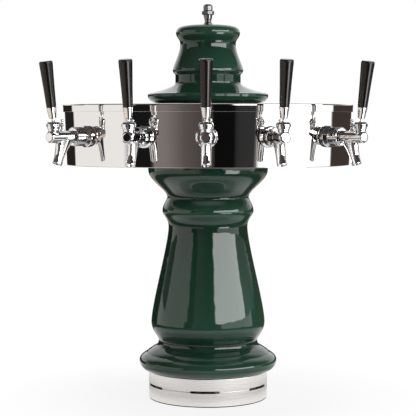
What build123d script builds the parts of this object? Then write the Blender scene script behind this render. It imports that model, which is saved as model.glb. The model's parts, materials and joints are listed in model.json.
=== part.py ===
from build123d import *

# A counter-top tower for draught beer. A steel base carries a hollow glazed column, the column carries a
# wide polished head with five faucets along its front, and a glazed cap with a small finial closes the top.
# Millimetres and degrees. +Z is up, the faucets face -Y, and the origin is the middle of the underside.

import os
from math import atan2, cos, degrees, radians, sin, sqrt

# ---- clearances
SLIDE_GAP = 0.06  # round a shaft in its guide
THREAD_GAP = 0.05  # between the two sides of a thread
SEAT_GAP = 0.1  # between curved faces that are screwed against each other
RUN_GAP = 0.3  # round a piece that moves, or a loose liner

# ---- base
BASE_RADIUS = 125.0
BASE_HEIGHT = 58.0
BASE_WALL = 3.0
PAD_THICK = 2.0
PAD_MARGIN = 1.0
PLATE_THICK = 8.0
SEAM_HEIGHT = 31.0
SEAM_BEVEL = 0.8
SLOT_COUNT = 6
SLOT_LENGTH = 61.0
SLOT_HEIGHT = 5.0
SLOT_BEARING = -2.3  # of the front slot, from straight ahead
SEAT_WIDTH = 18.0
SEAT_THICK = 3.0
BASE_BOLT_CIRCLE = 180.0
BASE_BOLT_COUNT = 4
BASE_BOLT_RADIUS = 4.5
BOLT_START_ANGLE = 45.0  # of the first bolt on every circle, from +X

# ---- riser pipe inside the column
PIPE_RADIUS = 38.0
PIPE_WALL = 3.0
PIPE_FLANGE_RADIUS = 62.0
PIPE_FLANGE_THICK = 5.0

# ---- glazed column: a radius at each turn of its outline, and the rise from the turn below
COLUMN_WALL = 8.0
COLUMN_GASKET = 2.0
RIM_OVERHANG = 3.0  # of the foot's underside past the base
RIM_RADIUS = BASE_RADIUS + RIM_OVERHANG
RIM_WIDTH = 16.0
FOOT_RADIUS = 145.0
FOOT_RISE = 19.0
GROOVE_RADIUS = 104.0
GROOVE_RISE = 43.0
BELLY_RADIUS = 119.5
BELLY_RISE = 38.0
NECK_RADIUS = 83.0
WAIST_RISE = 85.0  # from the belly to the seam below the neck
NECK_RISE = 201.0
BEAD_RADIUS = 95.8
BEAD_RISE = 34.0
COLLAR_RADIUS = 85.5
COLLAR_RISE = 28.0
FLARE_RADIUS = 126.0
FLARE_RISE = 66.0

# ---- head: a three-centred oval, a little narrower at the bottom
HEAD_WIDTH = 600.0
HEAD_FRONT_RADIUS = 430.0
HEAD_END_RADIUS = 200.0
HEAD_HEIGHT = 126.0
HEAD_TAPER = 5.0
PAN_WALL = 1.5
PAN_FLOOR = 2.0
PAN_BOLT_CIRCLE = 100.0
PAN_BOLT_COUNT = 4
PAN_BOLT_RADIUS = 3.0
PAN_BOLT_FLATS = 10.0
PAN_BOLT_HEAD = 4.0
PAN_NUT_THICK = 5.0
BOLT_CLEARANCE = 0.3
LINER_THICK = 29.0
LINER_OPENING = 62.0
LID_THICK = 2.0
LID_WALL = 2.0
LID_LIP = 16.0
LID_GAP = 1.0
LID_BEVEL = 1.0
LID_SCREW_ANGLES = (133.0, 180.0, 227.0)
LID_SCREW_RADIUS = 2.0
LID_SCREW_HEAD_RADIUS = 3.8
LID_SCREW_HEAD = 2.2
LID_SCREW_LENGTH = 9.0

# ---- cap: a radius at each turn of its outline, and the rise from the turn below
CAP_GASKET = 1.5
CAP_WALL = 8.0
CAP_RIM_RADIUS = 100.0
CAP_BRIM_RADIUS = 126.0
CAP_BRIM_RISE = 17.0
CAP_EDGE_INSET = 2.0
CAP_EDGE_RISE = 3.5
CAP_NECK_RADIUS = 68.3
CAP_SHOULDER_RISE = 22.5
CAP_NECK_RISE = 15.5
CAP_RING_RADIUS = 73.5
CAP_RING_RISE = 9.5
CAP_WAIST_RADIUS = 58.0
CAP_WAIST_RISE = 56.0
CAP_BULGE_RADIUS = 66.8
CAP_BULGE_RISE = 23.0
CAP_TOP_RADIUS = 45.0
CAP_TOP_RISE = 16.5
STUD_RADIUS = 5.0
STUD_FLATS = 17.0
STUD_HEAD = 6.5
STUD_GRIP = 20.0
WASHER_RADIUS = 11.0
WASHER_THICK = 1.2

# ---- finial
FINIAL_FOOT_RADIUS = 9.0
FINIAL_FOOT = 2.0
FINIAL_NECK_RADIUS = 7.0
FINIAL_NECK = 6.0
FINIAL_CONE = 12.0
FINIAL_BELT_RADIUS = 12.7
FINIAL_BELT = 8.0
FINIAL_BELT_SIDES = 8
FINIAL_TIP_RADIUS = 9.5
FINIAL_TIP = 14.0
FINIAL_DOME = 4.0

# ---- where the faucets stand: the bearing of each one's wall, from straight ahead
FAUCET_BEARINGS = (-45.0, -16.6, 0.0, 16.6, 45.0)
SHANK_RISE = 60.5

# ---- shank through the wall, and the nut that couples the faucet to it
SHANK_RADIUS = 11.0
SHANK_BORE = 8.0
SHANK_REACH = 30.0
SHANK_TAIL = 50.0
SHANK_BORE_DEPTH = 52.0
NIPPLE_RADIUS = 4.75
NIPPLE_LENGTH = 14.0
FLANGE_RADIUS = 21.75
FLANGE_RIM = 6.0
FLANGE_LENGTH = 12.0
FLANGE_FRONT_RADIUS = 15.0
SHANK_NUT_FLATS = 32.0
SHANK_NUT_THICK = 8.0
COUPLING_RADIUS = 19.0
COUPLING_START = 14.0
COUPLING_END = 38.0
COUPLING_BEVEL = 1.5

# ---- faucet body; distances out are measured from the wall and rises from the shank's axis
SHOULDER_RADIUS = 14.6
SHOULDER_LENGTH = 5.0
BARREL_RADIUS = 12.0
NOSE_ROUND = 5.0
INLET_RADIUS = 8.5
INLET_LENGTH = 10.0
PORT_RADIUS = 5.6
PORT_LENGTH = 2.0
FLOW_RADIUS = 7.0
FLOW_LENGTH = 22.0
LEVER_ROOM_RADIUS = 8.9
NOSE_WALL = 2.7
LEVER_REACH = 85.0
NOSE_REACH = 12.0
BARREL_END = LEVER_REACH + NOSE_REACH
BOSS_SETBACK = 21.0
BOSS_REACH = LEVER_REACH - BOSS_SETBACK
PIVOT_RISE = 24.0
NECK_OUTSIDE = 11.0
NECK_INSIDE = 8.5
NECK_TOP = 16.0
STUB_RADIUS = 10.0
STUB_RISE = 6.0
STUB_HOLE = 4.6
BOSS_RADIUS = 4.5
BOSS_RISE = 15.0

# ---- spout, a horn that leans outwards and narrows to a round mouth
SPOUT_LEAN = 19.65
SPOUT_ROOT = 57.7
SPOUT_LENGTH = 57.3
SPOUT_HALF_DEPTHS = (20.0, 17.5, 11.5, 9.7)  # along the shank, at each section
SPOUT_HALF_WIDTHS = (10.5, 10.4, 10.0, 9.7)  # across the shank, at each section
SPOUT_STATIONS = (0.0, 13.0, 30.0)  # down the spout, before the mouth
SPOUT_BORE = 6.0
SPOUT_BORE_DEPTH = 28.0
SPOUT_FEED = 4.5
SPOUT_FEED_TOP = 6.0

# ---- lever: leaning outwards at rest, with a shorter cranked arm down to the valve shaft
LEVER_LEAN = 8.5
LEVER_SWING = 28.0
BALL_RADIUS = 7.0
LEVER_STEM_RADIUS = 3.2
LEVER_STEM_TOP = 50.0
LEVER_ARM = 18.0
ARM_RADIUS = 1.8
ARM_TIP_RADIUS = 2.5

# ---- bonnet over the lever's ball; rises are measured from the ball's centre
BONNET_SKIRT_RADIUS = 12.6
BONNET_RADIUS = 14.5
BONNET_SKIRT = 4.0
BONNET_SIDE_TOP = 1.0
BONNET_TOP = 5.0
BONNET_TOP_RADIUS = 12.3
BONNET_LIP = 2.5
BONNET_MOUTH = 11.5

# ---- ferrule and handle, measured up the lever from the ball's centre
FERRULE_START = 12.5
FERRULE_FOOT_RADIUS = 7.2
FERRULE_TOP_RADIUS = 9.9
FERRULE_END = 34.4
HANDLE_FOOT_RADIUS = 9.6
HANDLE_TOP_RADIUS = 13.5
HANDLE_LENGTH = 91.0
HANDLE_ROUND = 1.5
HANDLE_SOCKET = 18.0

# ---- valve shaft
SHAFT_RADIUS = 4.0
VALVE_RADIUS = 7.5
VALVE_THICK = 3.5
YOKE_RADIUS = 8.5
YOKE_LENGTH = 8.4

# ---- thumb screw in the boss between bonnet and wall
SCREW_RADIUS = 2.2
SCREW_DEPTH = 7.0
SCREW_TOP = 32.0
SCREW_BALL_RADIUS = 3.1
SCREW_COLLAR_RADIUS = 3.6
SCREW_COLLAR_RISE = 22.0
SCREW_COLLAR = 2.5

# ---- lines
BEER_LINE_RADIUS = 4.75
BEER_LINE_WALL = 1.6
BEER_LINE_BEND = 38.0
BEER_LINE_LEAD = 35.0
GLYCOL_RADIUS = 6.0
GLYCOL_WALL = 1.5
GLYCOL_BEND = 28.0
GLYCOL_BEARING = 35.0
GLYCOL_HALF_WIDTH = 150.0
GLYCOL_BACK = 50.0
GLYCOL_FRONT = 80.0
LINE_CIRCLE = 24.0

# ---- heights up the middle
column_bottom = BASE_HEIGHT + COLUMN_GASKET
foot_z = column_bottom + FOOT_RISE
groove_z = foot_z + GROOVE_RISE
belly_z = groove_z + BELLY_RISE
waist_z = belly_z + WAIST_RISE
neck_z = belly_z + NECK_RISE
bead_z = neck_z + BEAD_RISE
collar_z = bead_z + COLLAR_RISE
column_top = collar_z + FLARE_RISE
head_bottom = column_top + COLUMN_GASKET
head_top = head_bottom + HEAD_HEIGHT
pan_top = head_top - LID_THICK
pan_inside = head_bottom + PAN_FLOOR
liner_top = pan_inside + LINER_THICK
shank_z = head_bottom + SHANK_RISE
plate_top = PAD_THICK + PLATE_THICK
cap_bottom = head_top + CAP_GASKET
cap_top = (
    cap_bottom + CAP_BRIM_RISE + CAP_EDGE_RISE + CAP_SHOULDER_RISE + CAP_NECK_RISE
    + CAP_RING_RISE + CAP_WAIST_RISE + CAP_BULGE_RISE + CAP_TOP_RISE
)
finial_bottom = cap_top + WASHER_THICK

# ---- the head's plan: two arcs of the front radius, and two of the end radius
end_centre = HEAD_WIDTH / 2 - HEAD_END_RADIUS
front_centre = sqrt((HEAD_FRONT_RADIUS - HEAD_END_RADIUS) ** 2 - end_centre**2)
join_bearing = degrees(atan2(end_centre, front_centre))

# ---- inside the pipe and the faucets
pipe_bore = PIPE_RADIUS - PIPE_WALL
arm_lean = LEVER_SWING / 2
yoke_reach = LEVER_REACH + LEVER_ARM * sin(radians(arm_lean))
valve_travel = 2 * LEVER_ARM * sin(radians(arm_lean))
port_start = SHANK_REACH + INLET_LENGTH
flow_start = port_start + PORT_LENGTH
flow_end = flow_start + FLOW_LENGTH
lever_room_start = yoke_reach - YOKE_LENGTH / 2 - valve_travel - RUN_GAP
lever_room_end = BARREL_END - NOSE_WALL

os.makedirs("parts", exist_ok=True)


def save(piece, label):
    """Labels a finished piece and writes it."""
    piece.part.label = label
    export_step(piece.part, f"parts/{label}.step")


def swell(low, high, low_pull=0.5, high_pull=0.5):
    """One stretch of a turned outline, upright at both ends for a share of the rise given by each pull."""
    rise = high[1] - low[1]
    Bezier(low, (low[0], low[1] + low_pull * rise), (high[0], high[1] - high_pull * rise), high)


def turn(plane, outline, mode=Mode.ADD):
    """Turns a closed outline of (radius, height) points about the plane's Y axis."""
    with BuildSketch(plane) as profile:
        with BuildLine():
            Polyline(*outline, close=True)
        make_face()
    revolve(profile.sketch, axis=Axis(plane.origin, plane.y_dir), mode=mode)


def disc(z, thick, radius, mode=Mode.ADD):
    """A round plate on the tower's axis."""
    with BuildSketch(Plane.XY.offset(z)) as outline:
        Circle(radius)
    extrude(outline.sketch, amount=thick, mode=mode)


def drill(z, depth, radius, circle, count):
    """Holes on a circle about the tower's axis, upwards from a height."""
    with BuildSketch(Plane.XY.offset(z)) as holes:
        with PolarLocations(circle / 2, count, start_angle=BOLT_START_ANGLE):
            Circle(radius)
    extrude(holes.sketch, amount=depth, mode=Mode.SUBTRACT)


def taper_at(z):
    """How far the head's wall lies inside its top edge at a height."""
    return HEAD_TAPER * (head_top - z) / HEAD_HEIGHT


def oval(plane, grow):
    """The head's plan, grown outwards."""
    end = HEAD_END_RADIUS + grow
    join_x = end_centre + end * sin(radians(join_bearing))
    join_y = end * cos(radians(join_bearing))
    side_x = end_centre + end
    front_y = HEAD_FRONT_RADIUS + grow - front_centre
    with BuildSketch(plane) as plan:
        with BuildLine():
            ThreePointArc((-join_x, -join_y), (0, -front_y), (join_x, -join_y))
            ThreePointArc((join_x, -join_y), (side_x, 0), (join_x, join_y))
            ThreePointArc((join_x, join_y), (0, front_y), (-join_x, join_y))
            ThreePointArc((-join_x, join_y), (-side_x, 0), (-join_x, -join_y))
        make_face()
    return plan.sketch


def head_block(low, high, grow, mode=Mode.ADD):
    """The head's sloping oval block between two heights."""
    sections = [oval(Plane.XY.offset(z), grow - taper_at(z)) for z in (low, high)]
    loft(sections, ruled=True, mode=mode)


def wall_point(bearing, grow):
    """A point on the head's plan, grown outwards, where the wall faces a bearing from straight ahead."""
    turn_in = radians(bearing)
    from_front = abs((bearing + 90) % 180 - 90) <= join_bearing
    if from_front:
        centre_y = front_centre if cos(turn_in) > 0 else -front_centre
        radius = HEAD_FRONT_RADIUS + grow
        return radius * sin(turn_in), centre_y - radius * cos(turn_in)
    centre_x = end_centre if sin(turn_in) > 0 else -end_centre
    radius = HEAD_END_RADIUS + grow
    return centre_x + radius * sin(turn_in), -radius * cos(turn_in)


def wall_plane(bearing, z, grow=0.0):
    """The upright plane square to the wall: its X points outwards and its Y upwards."""
    x, y = wall_point(bearing, grow - taper_at(z))
    turn_in = radians(bearing)
    return Plane(
        origin=(x, y, z),
        x_dir=(sin(turn_in), -cos(turn_in), 0),
        z_dir=(-cos(turn_in), -sin(turn_in), 0),
    )


def outwards(plane):
    """The same place with Y pointing outwards, so that what is turned on it lies along the shank."""
    return Plane(origin=plane.origin, x_dir=(0, 0, 1), z_dir=-plane.z_dir)


def leaning(plane, reach, rise, lean):
    """A plane at a point of a wall plane, its Y axis tipped outwards from upright by an angle."""
    tip = radians(lean)
    return Plane(
        origin=plane.from_local_coords((reach, rise, 0)),
        x_dir=plane.x_dir * cos(tip) - plane.y_dir * sin(tip),
        z_dir=plane.z_dir,
    )


def rod(plane, radius, low, high, mode=Mode.ADD):
    """A round bar about the plane's Y axis."""
    turn(plane, [(0, low), (radius, low), (radius, high), (0, high)], mode)


def ball(plane, radius, mode=Mode.ADD):
    """A ball round the plane's origin."""
    with BuildSketch(plane) as half:
        with BuildLine():
            ThreePointArc((0, -radius), (radius, 0), (0, radius))
            Line((0, radius), (0, -radius))
        make_face()
    revolve(half.sketch, axis=Axis(plane.origin, plane.y_dir), mode=mode)


def tube(points, radius, wall, bend):
    """A bent tube through straight runs and round corners."""
    with BuildLine() as route:
        FilletPolyline(*points, radius=bend)
    start = Plane(origin=route.line @ 0, z_dir=route.line % 0)
    with BuildSketch(start) as section:
        Circle(radius)
        Circle(radius - wall, mode=Mode.SUBTRACT)
    sweep(section.sketch, path=route.line)


# ---------------------------------------------------------------- base

with BuildPart() as base_pad:
    disc(0, PAD_THICK, BASE_RADIUS - PAD_MARGIN)
    disc(0, PAD_THICK, pipe_bore, Mode.SUBTRACT)
    drill(0, PAD_THICK, BASE_BOLT_RADIUS + BOLT_CLEARANCE, BASE_BOLT_CIRCLE, BASE_BOLT_COUNT)
save(base_pad, "base_pad")

with BuildPart() as base_plate:
    disc(PAD_THICK, PLATE_THICK, BASE_RADIUS - BASE_WALL - RUN_GAP)
    disc(PAD_THICK, PLATE_THICK, pipe_bore, Mode.SUBTRACT)
    drill(PAD_THICK, PLATE_THICK, BASE_BOLT_RADIUS, BASE_BOLT_CIRCLE, BASE_BOLT_COUNT)
save(base_plate, "base_plate")


def cut_slots():
    """The slots along the seam, evenly spaced round the base."""
    for index in range(SLOT_COUNT):
        bearing = radians(SLOT_BEARING + index * 360 / SLOT_COUNT - 90)
        facing = Plane(
            origin=(BASE_RADIUS * cos(bearing), BASE_RADIUS * sin(bearing), SEAM_HEIGHT),
            x_dir=(-sin(bearing), cos(bearing), 0),
            z_dir=(cos(bearing), sin(bearing), 0),
        )
        with BuildSketch(facing) as slot:
            SlotOverall(SLOT_LENGTH, SLOT_HEIGHT)
        extrude(slot.sketch, amount=-SEAT_WIDTH, mode=Mode.SUBTRACT)


ring_inside = BASE_RADIUS - BASE_WALL
seat_inside = BASE_RADIUS - SEAT_WIDTH

with BuildPart() as base_ring:
    turn(Plane.XZ, [
        (ring_inside, PAD_THICK), (BASE_RADIUS, PAD_THICK), (BASE_RADIUS, SEAM_HEIGHT - SEAM_BEVEL),
        (BASE_RADIUS - SEAM_BEVEL, SEAM_HEIGHT), (ring_inside, SEAM_HEIGHT),
    ])
    cut_slots()
save(base_ring, "base_ring")

with BuildPart() as base_sleeve:
    turn(Plane.XZ, [
        (ring_inside, SEAM_HEIGHT), (BASE_RADIUS - SEAM_BEVEL, SEAM_HEIGHT),
        (BASE_RADIUS, SEAM_HEIGHT + SEAM_BEVEL), (BASE_RADIUS, BASE_HEIGHT), (seat_inside, BASE_HEIGHT),
        (seat_inside, BASE_HEIGHT - SEAT_THICK), (ring_inside, BASE_HEIGHT - SEAT_THICK),
    ])
    cut_slots()
save(base_sleeve, "base_sleeve")

with BuildPart() as riser_pipe:
    disc(plate_top, head_bottom - plate_top, PIPE_RADIUS)
    disc(head_bottom - PIPE_FLANGE_THICK, PIPE_FLANGE_THICK, PIPE_FLANGE_RADIUS)
    disc(plate_top, head_bottom - plate_top, pipe_bore, Mode.SUBTRACT)
    drill(
        head_bottom - PIPE_FLANGE_THICK, PIPE_FLANGE_THICK,
        PAN_BOLT_RADIUS + BOLT_CLEARANCE, PAN_BOLT_CIRCLE, PAN_BOLT_COUNT,
    )
save(riser_pipe, "riser_pipe")

# ---------------------------------------------------------------- column

rim_inside = RIM_RADIUS - RIM_WIDTH
foot = (FOOT_RADIUS, foot_z)
groove = (GROOVE_RADIUS, groove_z)
belly = (BELLY_RADIUS, belly_z)
neck = (NECK_RADIUS, neck_z)
bead = (BEAD_RADIUS, bead_z)
collar = (COLLAR_RADIUS, collar_z)
flare = (FLARE_RADIUS, column_top)


def within(point):
    """The point of the column's inside next to a turn of its outline."""
    return point[0] - COLUMN_WALL, point[1]


with BuildPart() as column_seat_gasket:
    disc(BASE_HEIGHT, COLUMN_GASKET, BASE_RADIUS - PAD_MARGIN)
    disc(BASE_HEIGHT, COLUMN_GASKET, rim_inside, Mode.SUBTRACT)
save(column_seat_gasket, "column_seat_gasket")

with BuildPart() as column_wall:
    with BuildSketch(Plane.XZ):
        with BuildLine():
            Bezier(
                (RIM_RADIUS, column_bottom), ((RIM_RADIUS + FOOT_RADIUS) / 2, column_bottom),
                (FOOT_RADIUS, foot_z - FOOT_RISE / 2), foot,
            )
            swell(foot, groove, 0.62, 0.38)
            swell(groove, belly, 0.22, 0.38)
            swell(belly, neck, 0.18, 0.18)
            swell(neck, bead, 0.54, 0.3)
            swell(bead, collar, 0.38, 0.14)
            swell(collar, flare, 0.26, 0.54)
            Line(flare, within(flare))
            swell(within(flare), within(collar), 0.54, 0.26)
            swell(within(collar), within(neck), 0.4, 0.4)
            swell(within(neck), within(belly), 0.18, 0.18)
            swell(within(belly), within(groove), 0.38, 0.3)
            swell(within(groove), within(foot), 0.3, 0.62)
            swell(within(foot), (rim_inside, column_bottom), 0.4, 0.2)
            Line((rim_inside, column_bottom), (RIM_RADIUS, column_bottom))
        make_face()
    revolve(axis=Axis.Z)

column_bands = [
    ("column_foot", column_bottom, groove_z),
    ("column_belly", groove_z, waist_z),
    ("column_neck", waist_z, neck_z),
    ("column_bead", neck_z, collar_z),
    ("column_flare", collar_z, column_top),
]
for label, low, high in column_bands:
    with BuildPart() as band:
        add(column_wall.part)
        disc(low, high - low, max(FOOT_RADIUS, FLARE_RADIUS) + COLUMN_WALL, Mode.INTERSECT)
    save(band, label)

with BuildPart() as column_top_gasket:
    disc(column_top, COLUMN_GASKET, FLARE_RADIUS - PAD_MARGIN)
    disc(column_top, COLUMN_GASKET, FLARE_RADIUS - COLUMN_WALL, Mode.SUBTRACT)
save(column_top_gasket, "column_top_gasket")

# ---------------------------------------------------------------- head

stations = [wall_plane(bearing, shank_z) for bearing in FAUCET_BEARINGS]
lid_screw_z = head_top - LID_LIP / 2
lid_stations = [wall_plane(bearing, lid_screw_z) for bearing in LID_SCREW_ANGLES]

with BuildPart() as head_pan:
    head_block(head_bottom, pan_top, 0.0)
    head_block(pan_inside, pan_top, -PAN_WALL, Mode.SUBTRACT)
    disc(head_bottom, PAN_FLOOR, pipe_bore, Mode.SUBTRACT)
    drill(
        head_bottom, PAN_FLOOR,
        PAN_BOLT_RADIUS + BOLT_CLEARANCE, PAN_BOLT_CIRCLE, PAN_BOLT_COUNT,
    )
    for station in stations:
        rod(outwards(station), SHANK_RADIUS + SEAT_GAP, -FLANGE_LENGTH, FLANGE_LENGTH, Mode.SUBTRACT)
    for station in lid_stations:
        rod(outwards(station), LID_SCREW_RADIUS + THREAD_GAP, -LID_SCREW_LENGTH, LID_LIP, Mode.SUBTRACT)
save(head_pan, "head_pan")

with BuildPart() as head_lid:
    extrude(oval(Plane.XY.offset(head_top - LID_LIP), LID_GAP + LID_WALL), amount=LID_LIP)
    chamfer(head_lid.faces().sort_by(Axis.Z)[-1].edges(), length=LID_BEVEL)
    inside_lip = oval(Plane.XY.offset(head_top - LID_LIP), LID_GAP)
    extrude(inside_lip, amount=LID_LIP - LID_THICK, mode=Mode.SUBTRACT)
    disc(pan_top, LID_THICK, STUD_RADIUS + BOLT_CLEARANCE, Mode.SUBTRACT)
    for station in lid_stations:
        rod(outwards(station), LID_SCREW_RADIUS + BOLT_CLEARANCE, 0, LID_LIP, Mode.SUBTRACT)
save(head_lid, "head_lid")

# Outside of the lid's lip, measured from the pan's wall at the screws' height.
lip_outside = LID_GAP + LID_WALL + taper_at(lid_screw_z)

with BuildPart() as lid_screws:
    for station in lid_stations:
        along = outwards(station)
        rod(along, LID_SCREW_RADIUS, lip_outside - LID_SCREW_LENGTH, lip_outside + SEAT_GAP)
        turn(along, [
            (0, lip_outside + SEAT_GAP), (LID_SCREW_HEAD_RADIUS, lip_outside + SEAT_GAP),
            (LID_SCREW_HEAD_RADIUS, lip_outside + LID_SCREW_HEAD / 2),
            (LID_SCREW_RADIUS, lip_outside + LID_SCREW_HEAD), (0, lip_outside + LID_SCREW_HEAD),
        ])
save(lid_screws, "lid_screws")

pan_bolt_tip = head_bottom - PIPE_FLANGE_THICK - PAN_NUT_THICK - PAN_BOLT_RADIUS
pan_nut_top = head_bottom - PIPE_FLANGE_THICK

with BuildPart() as pan_bolts:
    with BuildSketch(Plane.XY.offset(pan_inside)):
        with PolarLocations(PAN_BOLT_CIRCLE / 2, PAN_BOLT_COUNT, start_angle=BOLT_START_ANGLE):
            RegularPolygon(PAN_BOLT_FLATS / 2, 6, major_radius=False)
    extrude(amount=PAN_BOLT_HEAD)
    with BuildSketch(Plane.XY.offset(pan_bolt_tip)):
        with PolarLocations(PAN_BOLT_CIRCLE / 2, PAN_BOLT_COUNT, start_angle=BOLT_START_ANGLE):
            Circle(PAN_BOLT_RADIUS)
    extrude(amount=pan_inside - pan_bolt_tip)
save(pan_bolts, "pan_bolts")

with BuildPart() as pan_nuts:
    with BuildSketch(Plane.XY.offset(pan_nut_top - PAN_NUT_THICK)):
        with PolarLocations(PAN_BOLT_CIRCLE / 2, PAN_BOLT_COUNT, start_angle=BOLT_START_ANGLE):
            RegularPolygon(PAN_BOLT_FLATS / 2, 6, major_radius=False)
            Circle(PAN_BOLT_RADIUS + THREAD_GAP, mode=Mode.SUBTRACT)
    extrude(amount=PAN_NUT_THICK)
save(pan_nuts, "pan_nuts")

with BuildPart() as foam_liner:
    head_block(pan_inside, liner_top, -PAN_WALL - RUN_GAP)
    disc(pan_inside, LINER_THICK, LINER_OPENING, Mode.SUBTRACT)
save(foam_liner, "foam_liner")

# ---------------------------------------------------------------- lines


def line_route(station):
    """From the foot of the pipe up its wall, out over the liner and straight into the shank's tail."""
    end = station.from_local_coords((-SHANK_TAIL, 0, 0))
    lead = station.from_local_coords((-SHANK_TAIL - BEER_LINE_LEAD, 0, 0))
    bearing = atan2(lead.X, -lead.Y)
    x = LINE_CIRCLE * sin(bearing)
    y = -LINE_CIRCLE * cos(bearing)
    straight_ahead = abs(lead.X) < BEER_LINE_RADIUS
    middle = [] if straight_ahead else [lead]
    return [Vector(x, y, PAD_THICK), Vector(x, y, shank_z), *middle, end]


with BuildPart() as beer_lines:
    for station in stations:
        tube(line_route(station), BEER_LINE_RADIUS, BEER_LINE_WALL, BEER_LINE_BEND)
save(beer_lines, "beer_lines")

loop_z = liner_top + GLYCOL_RADIUS + RUN_GAP
glycol_x = LINE_CIRCLE * sin(radians(GLYCOL_BEARING))
glycol_y = LINE_CIRCLE * cos(radians(GLYCOL_BEARING))

with BuildPart() as glycol_loop:
    tube([
        (glycol_x, glycol_y, PAD_THICK), (glycol_x, glycol_y, loop_z),
        (GLYCOL_HALF_WIDTH, GLYCOL_BACK, loop_z), (GLYCOL_HALF_WIDTH, -GLYCOL_FRONT, loop_z),
        (-GLYCOL_HALF_WIDTH, -GLYCOL_FRONT, loop_z), (-GLYCOL_HALF_WIDTH, GLYCOL_BACK, loop_z),
        (-glycol_x, glycol_y, loop_z), (-glycol_x, glycol_y, PAD_THICK),
    ], GLYCOL_RADIUS, GLYCOL_WALL, GLYCOL_BEND)
save(glycol_loop, "glycol_loop")

# ---------------------------------------------------------------- cap and finial

brim_z = cap_bottom + CAP_BRIM_RISE
edge_z = brim_z + CAP_EDGE_RISE
shoulder_z = edge_z + CAP_SHOULDER_RISE
ring_foot_z = shoulder_z + CAP_NECK_RISE
ring_z = ring_foot_z + CAP_RING_RISE
waist_z = ring_z + CAP_WAIST_RISE
bulge_z = waist_z + CAP_BULGE_RISE
edge_radius = CAP_BRIM_RADIUS - CAP_EDGE_INSET

with BuildPart() as cap_gasket:
    disc(head_top, CAP_GASKET, CAP_RIM_RADIUS - PAD_MARGIN)
    disc(head_top, CAP_GASKET, CAP_RIM_RADIUS - CAP_WALL, Mode.SUBTRACT)
save(cap_gasket, "cap_gasket")

with BuildPart() as cap_shell:
    with BuildSketch(Plane.XZ):
        with BuildLine():
            Line((CAP_RIM_RADIUS - CAP_WALL, cap_bottom), (CAP_RIM_RADIUS, cap_bottom))
            Bezier(
                (CAP_RIM_RADIUS, cap_bottom), (CAP_BRIM_RADIUS - CAP_WALL, cap_bottom),
                (CAP_BRIM_RADIUS, brim_z - CAP_WALL), (CAP_BRIM_RADIUS, brim_z),
            )
            Bezier((CAP_BRIM_RADIUS, brim_z), (CAP_BRIM_RADIUS, edge_z), (edge_radius, edge_z))
            Bezier(
                (edge_radius, edge_z), (edge_radius - 2 * CAP_WALL, edge_z + CAP_EDGE_RISE),
                (CAP_NECK_RADIUS, shoulder_z - CAP_WALL), (CAP_NECK_RADIUS, shoulder_z),
            )
            Line((CAP_NECK_RADIUS, shoulder_z), (CAP_NECK_RADIUS, ring_foot_z))
            swell((CAP_NECK_RADIUS, ring_foot_z), (CAP_RING_RADIUS, ring_z))
            swell((CAP_RING_RADIUS, ring_z), (CAP_WAIST_RADIUS, waist_z), 0.2, 0.35)
            swell((CAP_WAIST_RADIUS, waist_z), (CAP_BULGE_RADIUS, bulge_z), 0.45, 0.45)
            Bezier(
                (CAP_BULGE_RADIUS, bulge_z), (CAP_BULGE_RADIUS, cap_top),
                (CAP_TOP_RADIUS, cap_top), (0, cap_top),
            )
            Line((0, cap_top), (0, cap_top - CAP_WALL))
            Line((0, cap_top - CAP_WALL), (CAP_TOP_RADIUS, cap_top - CAP_WALL))
            Line((CAP_TOP_RADIUS, cap_top - CAP_WALL), (CAP_TOP_RADIUS, waist_z))
            Line((CAP_TOP_RADIUS, waist_z), (CAP_NECK_RADIUS - CAP_WALL, shoulder_z))
            Line((CAP_NECK_RADIUS - CAP_WALL, shoulder_z), (CAP_RIM_RADIUS - CAP_WALL, brim_z))
            Line((CAP_RIM_RADIUS - CAP_WALL, brim_z), (CAP_RIM_RADIUS - CAP_WALL, cap_bottom))
        make_face()
    revolve(axis=Axis.Z)
    disc(cap_top - CAP_WALL, CAP_WALL, STUD_RADIUS + BOLT_CLEARANCE, Mode.SUBTRACT)
save(cap_shell, "cap_shell")

with BuildPart() as cap_washer:
    disc(cap_top, WASHER_THICK, WASHER_RADIUS)
    disc(cap_top, WASHER_THICK, STUD_RADIUS + BOLT_CLEARANCE, Mode.SUBTRACT)
save(cap_washer, "cap_washer")

with BuildPart() as cap_stud:
    with BuildSketch(Plane.XY.offset(pan_top - STUD_HEAD)):
        RegularPolygon(STUD_FLATS / 2, 6, major_radius=False)
    extrude(amount=STUD_HEAD)
    disc(pan_top, finial_bottom + STUD_GRIP - pan_top, STUD_RADIUS)
save(cap_stud, "cap_stud")

belt_bottom = finial_bottom + FINIAL_FOOT + FINIAL_NECK + FINIAL_CONE
tip_bottom = belt_bottom + FINIAL_BELT
finial_top = tip_bottom + FINIAL_TIP

with BuildPart() as finial:
    turn(Plane.XZ, [
        (0, finial_bottom), (FINIAL_FOOT_RADIUS, finial_bottom),
        (FINIAL_FOOT_RADIUS, finial_bottom + FINIAL_FOOT),
        (FINIAL_NECK_RADIUS, finial_bottom + 2 * FINIAL_FOOT),
        (FINIAL_NECK_RADIUS, finial_bottom + FINIAL_FOOT + FINIAL_NECK),
        (FINIAL_TIP_RADIUS, belt_bottom), (0, belt_bottom),
    ])
    with BuildSketch(Plane.XY.offset(belt_bottom)):
        RegularPolygon(FINIAL_BELT_RADIUS, FINIAL_BELT_SIDES)
    extrude(amount=FINIAL_BELT)
    turn(Plane.XZ, [
        (0, tip_bottom), (FINIAL_TIP_RADIUS, tip_bottom), (FINIAL_TIP_RADIUS, finial_top - FINIAL_DOME),
        (FINIAL_TIP_RADIUS - FINIAL_DOME, finial_top), (0, finial_top),
    ])
    disc(finial_bottom, STUD_GRIP + RUN_GAP, STUD_RADIUS + THREAD_GAP, Mode.SUBTRACT)
save(finial, "finial")

# ---------------------------------------------------------------- shanks and their nuts

with BuildPart() as wall_former:
    head_block(head_bottom, head_top, SEAT_GAP)

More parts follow.
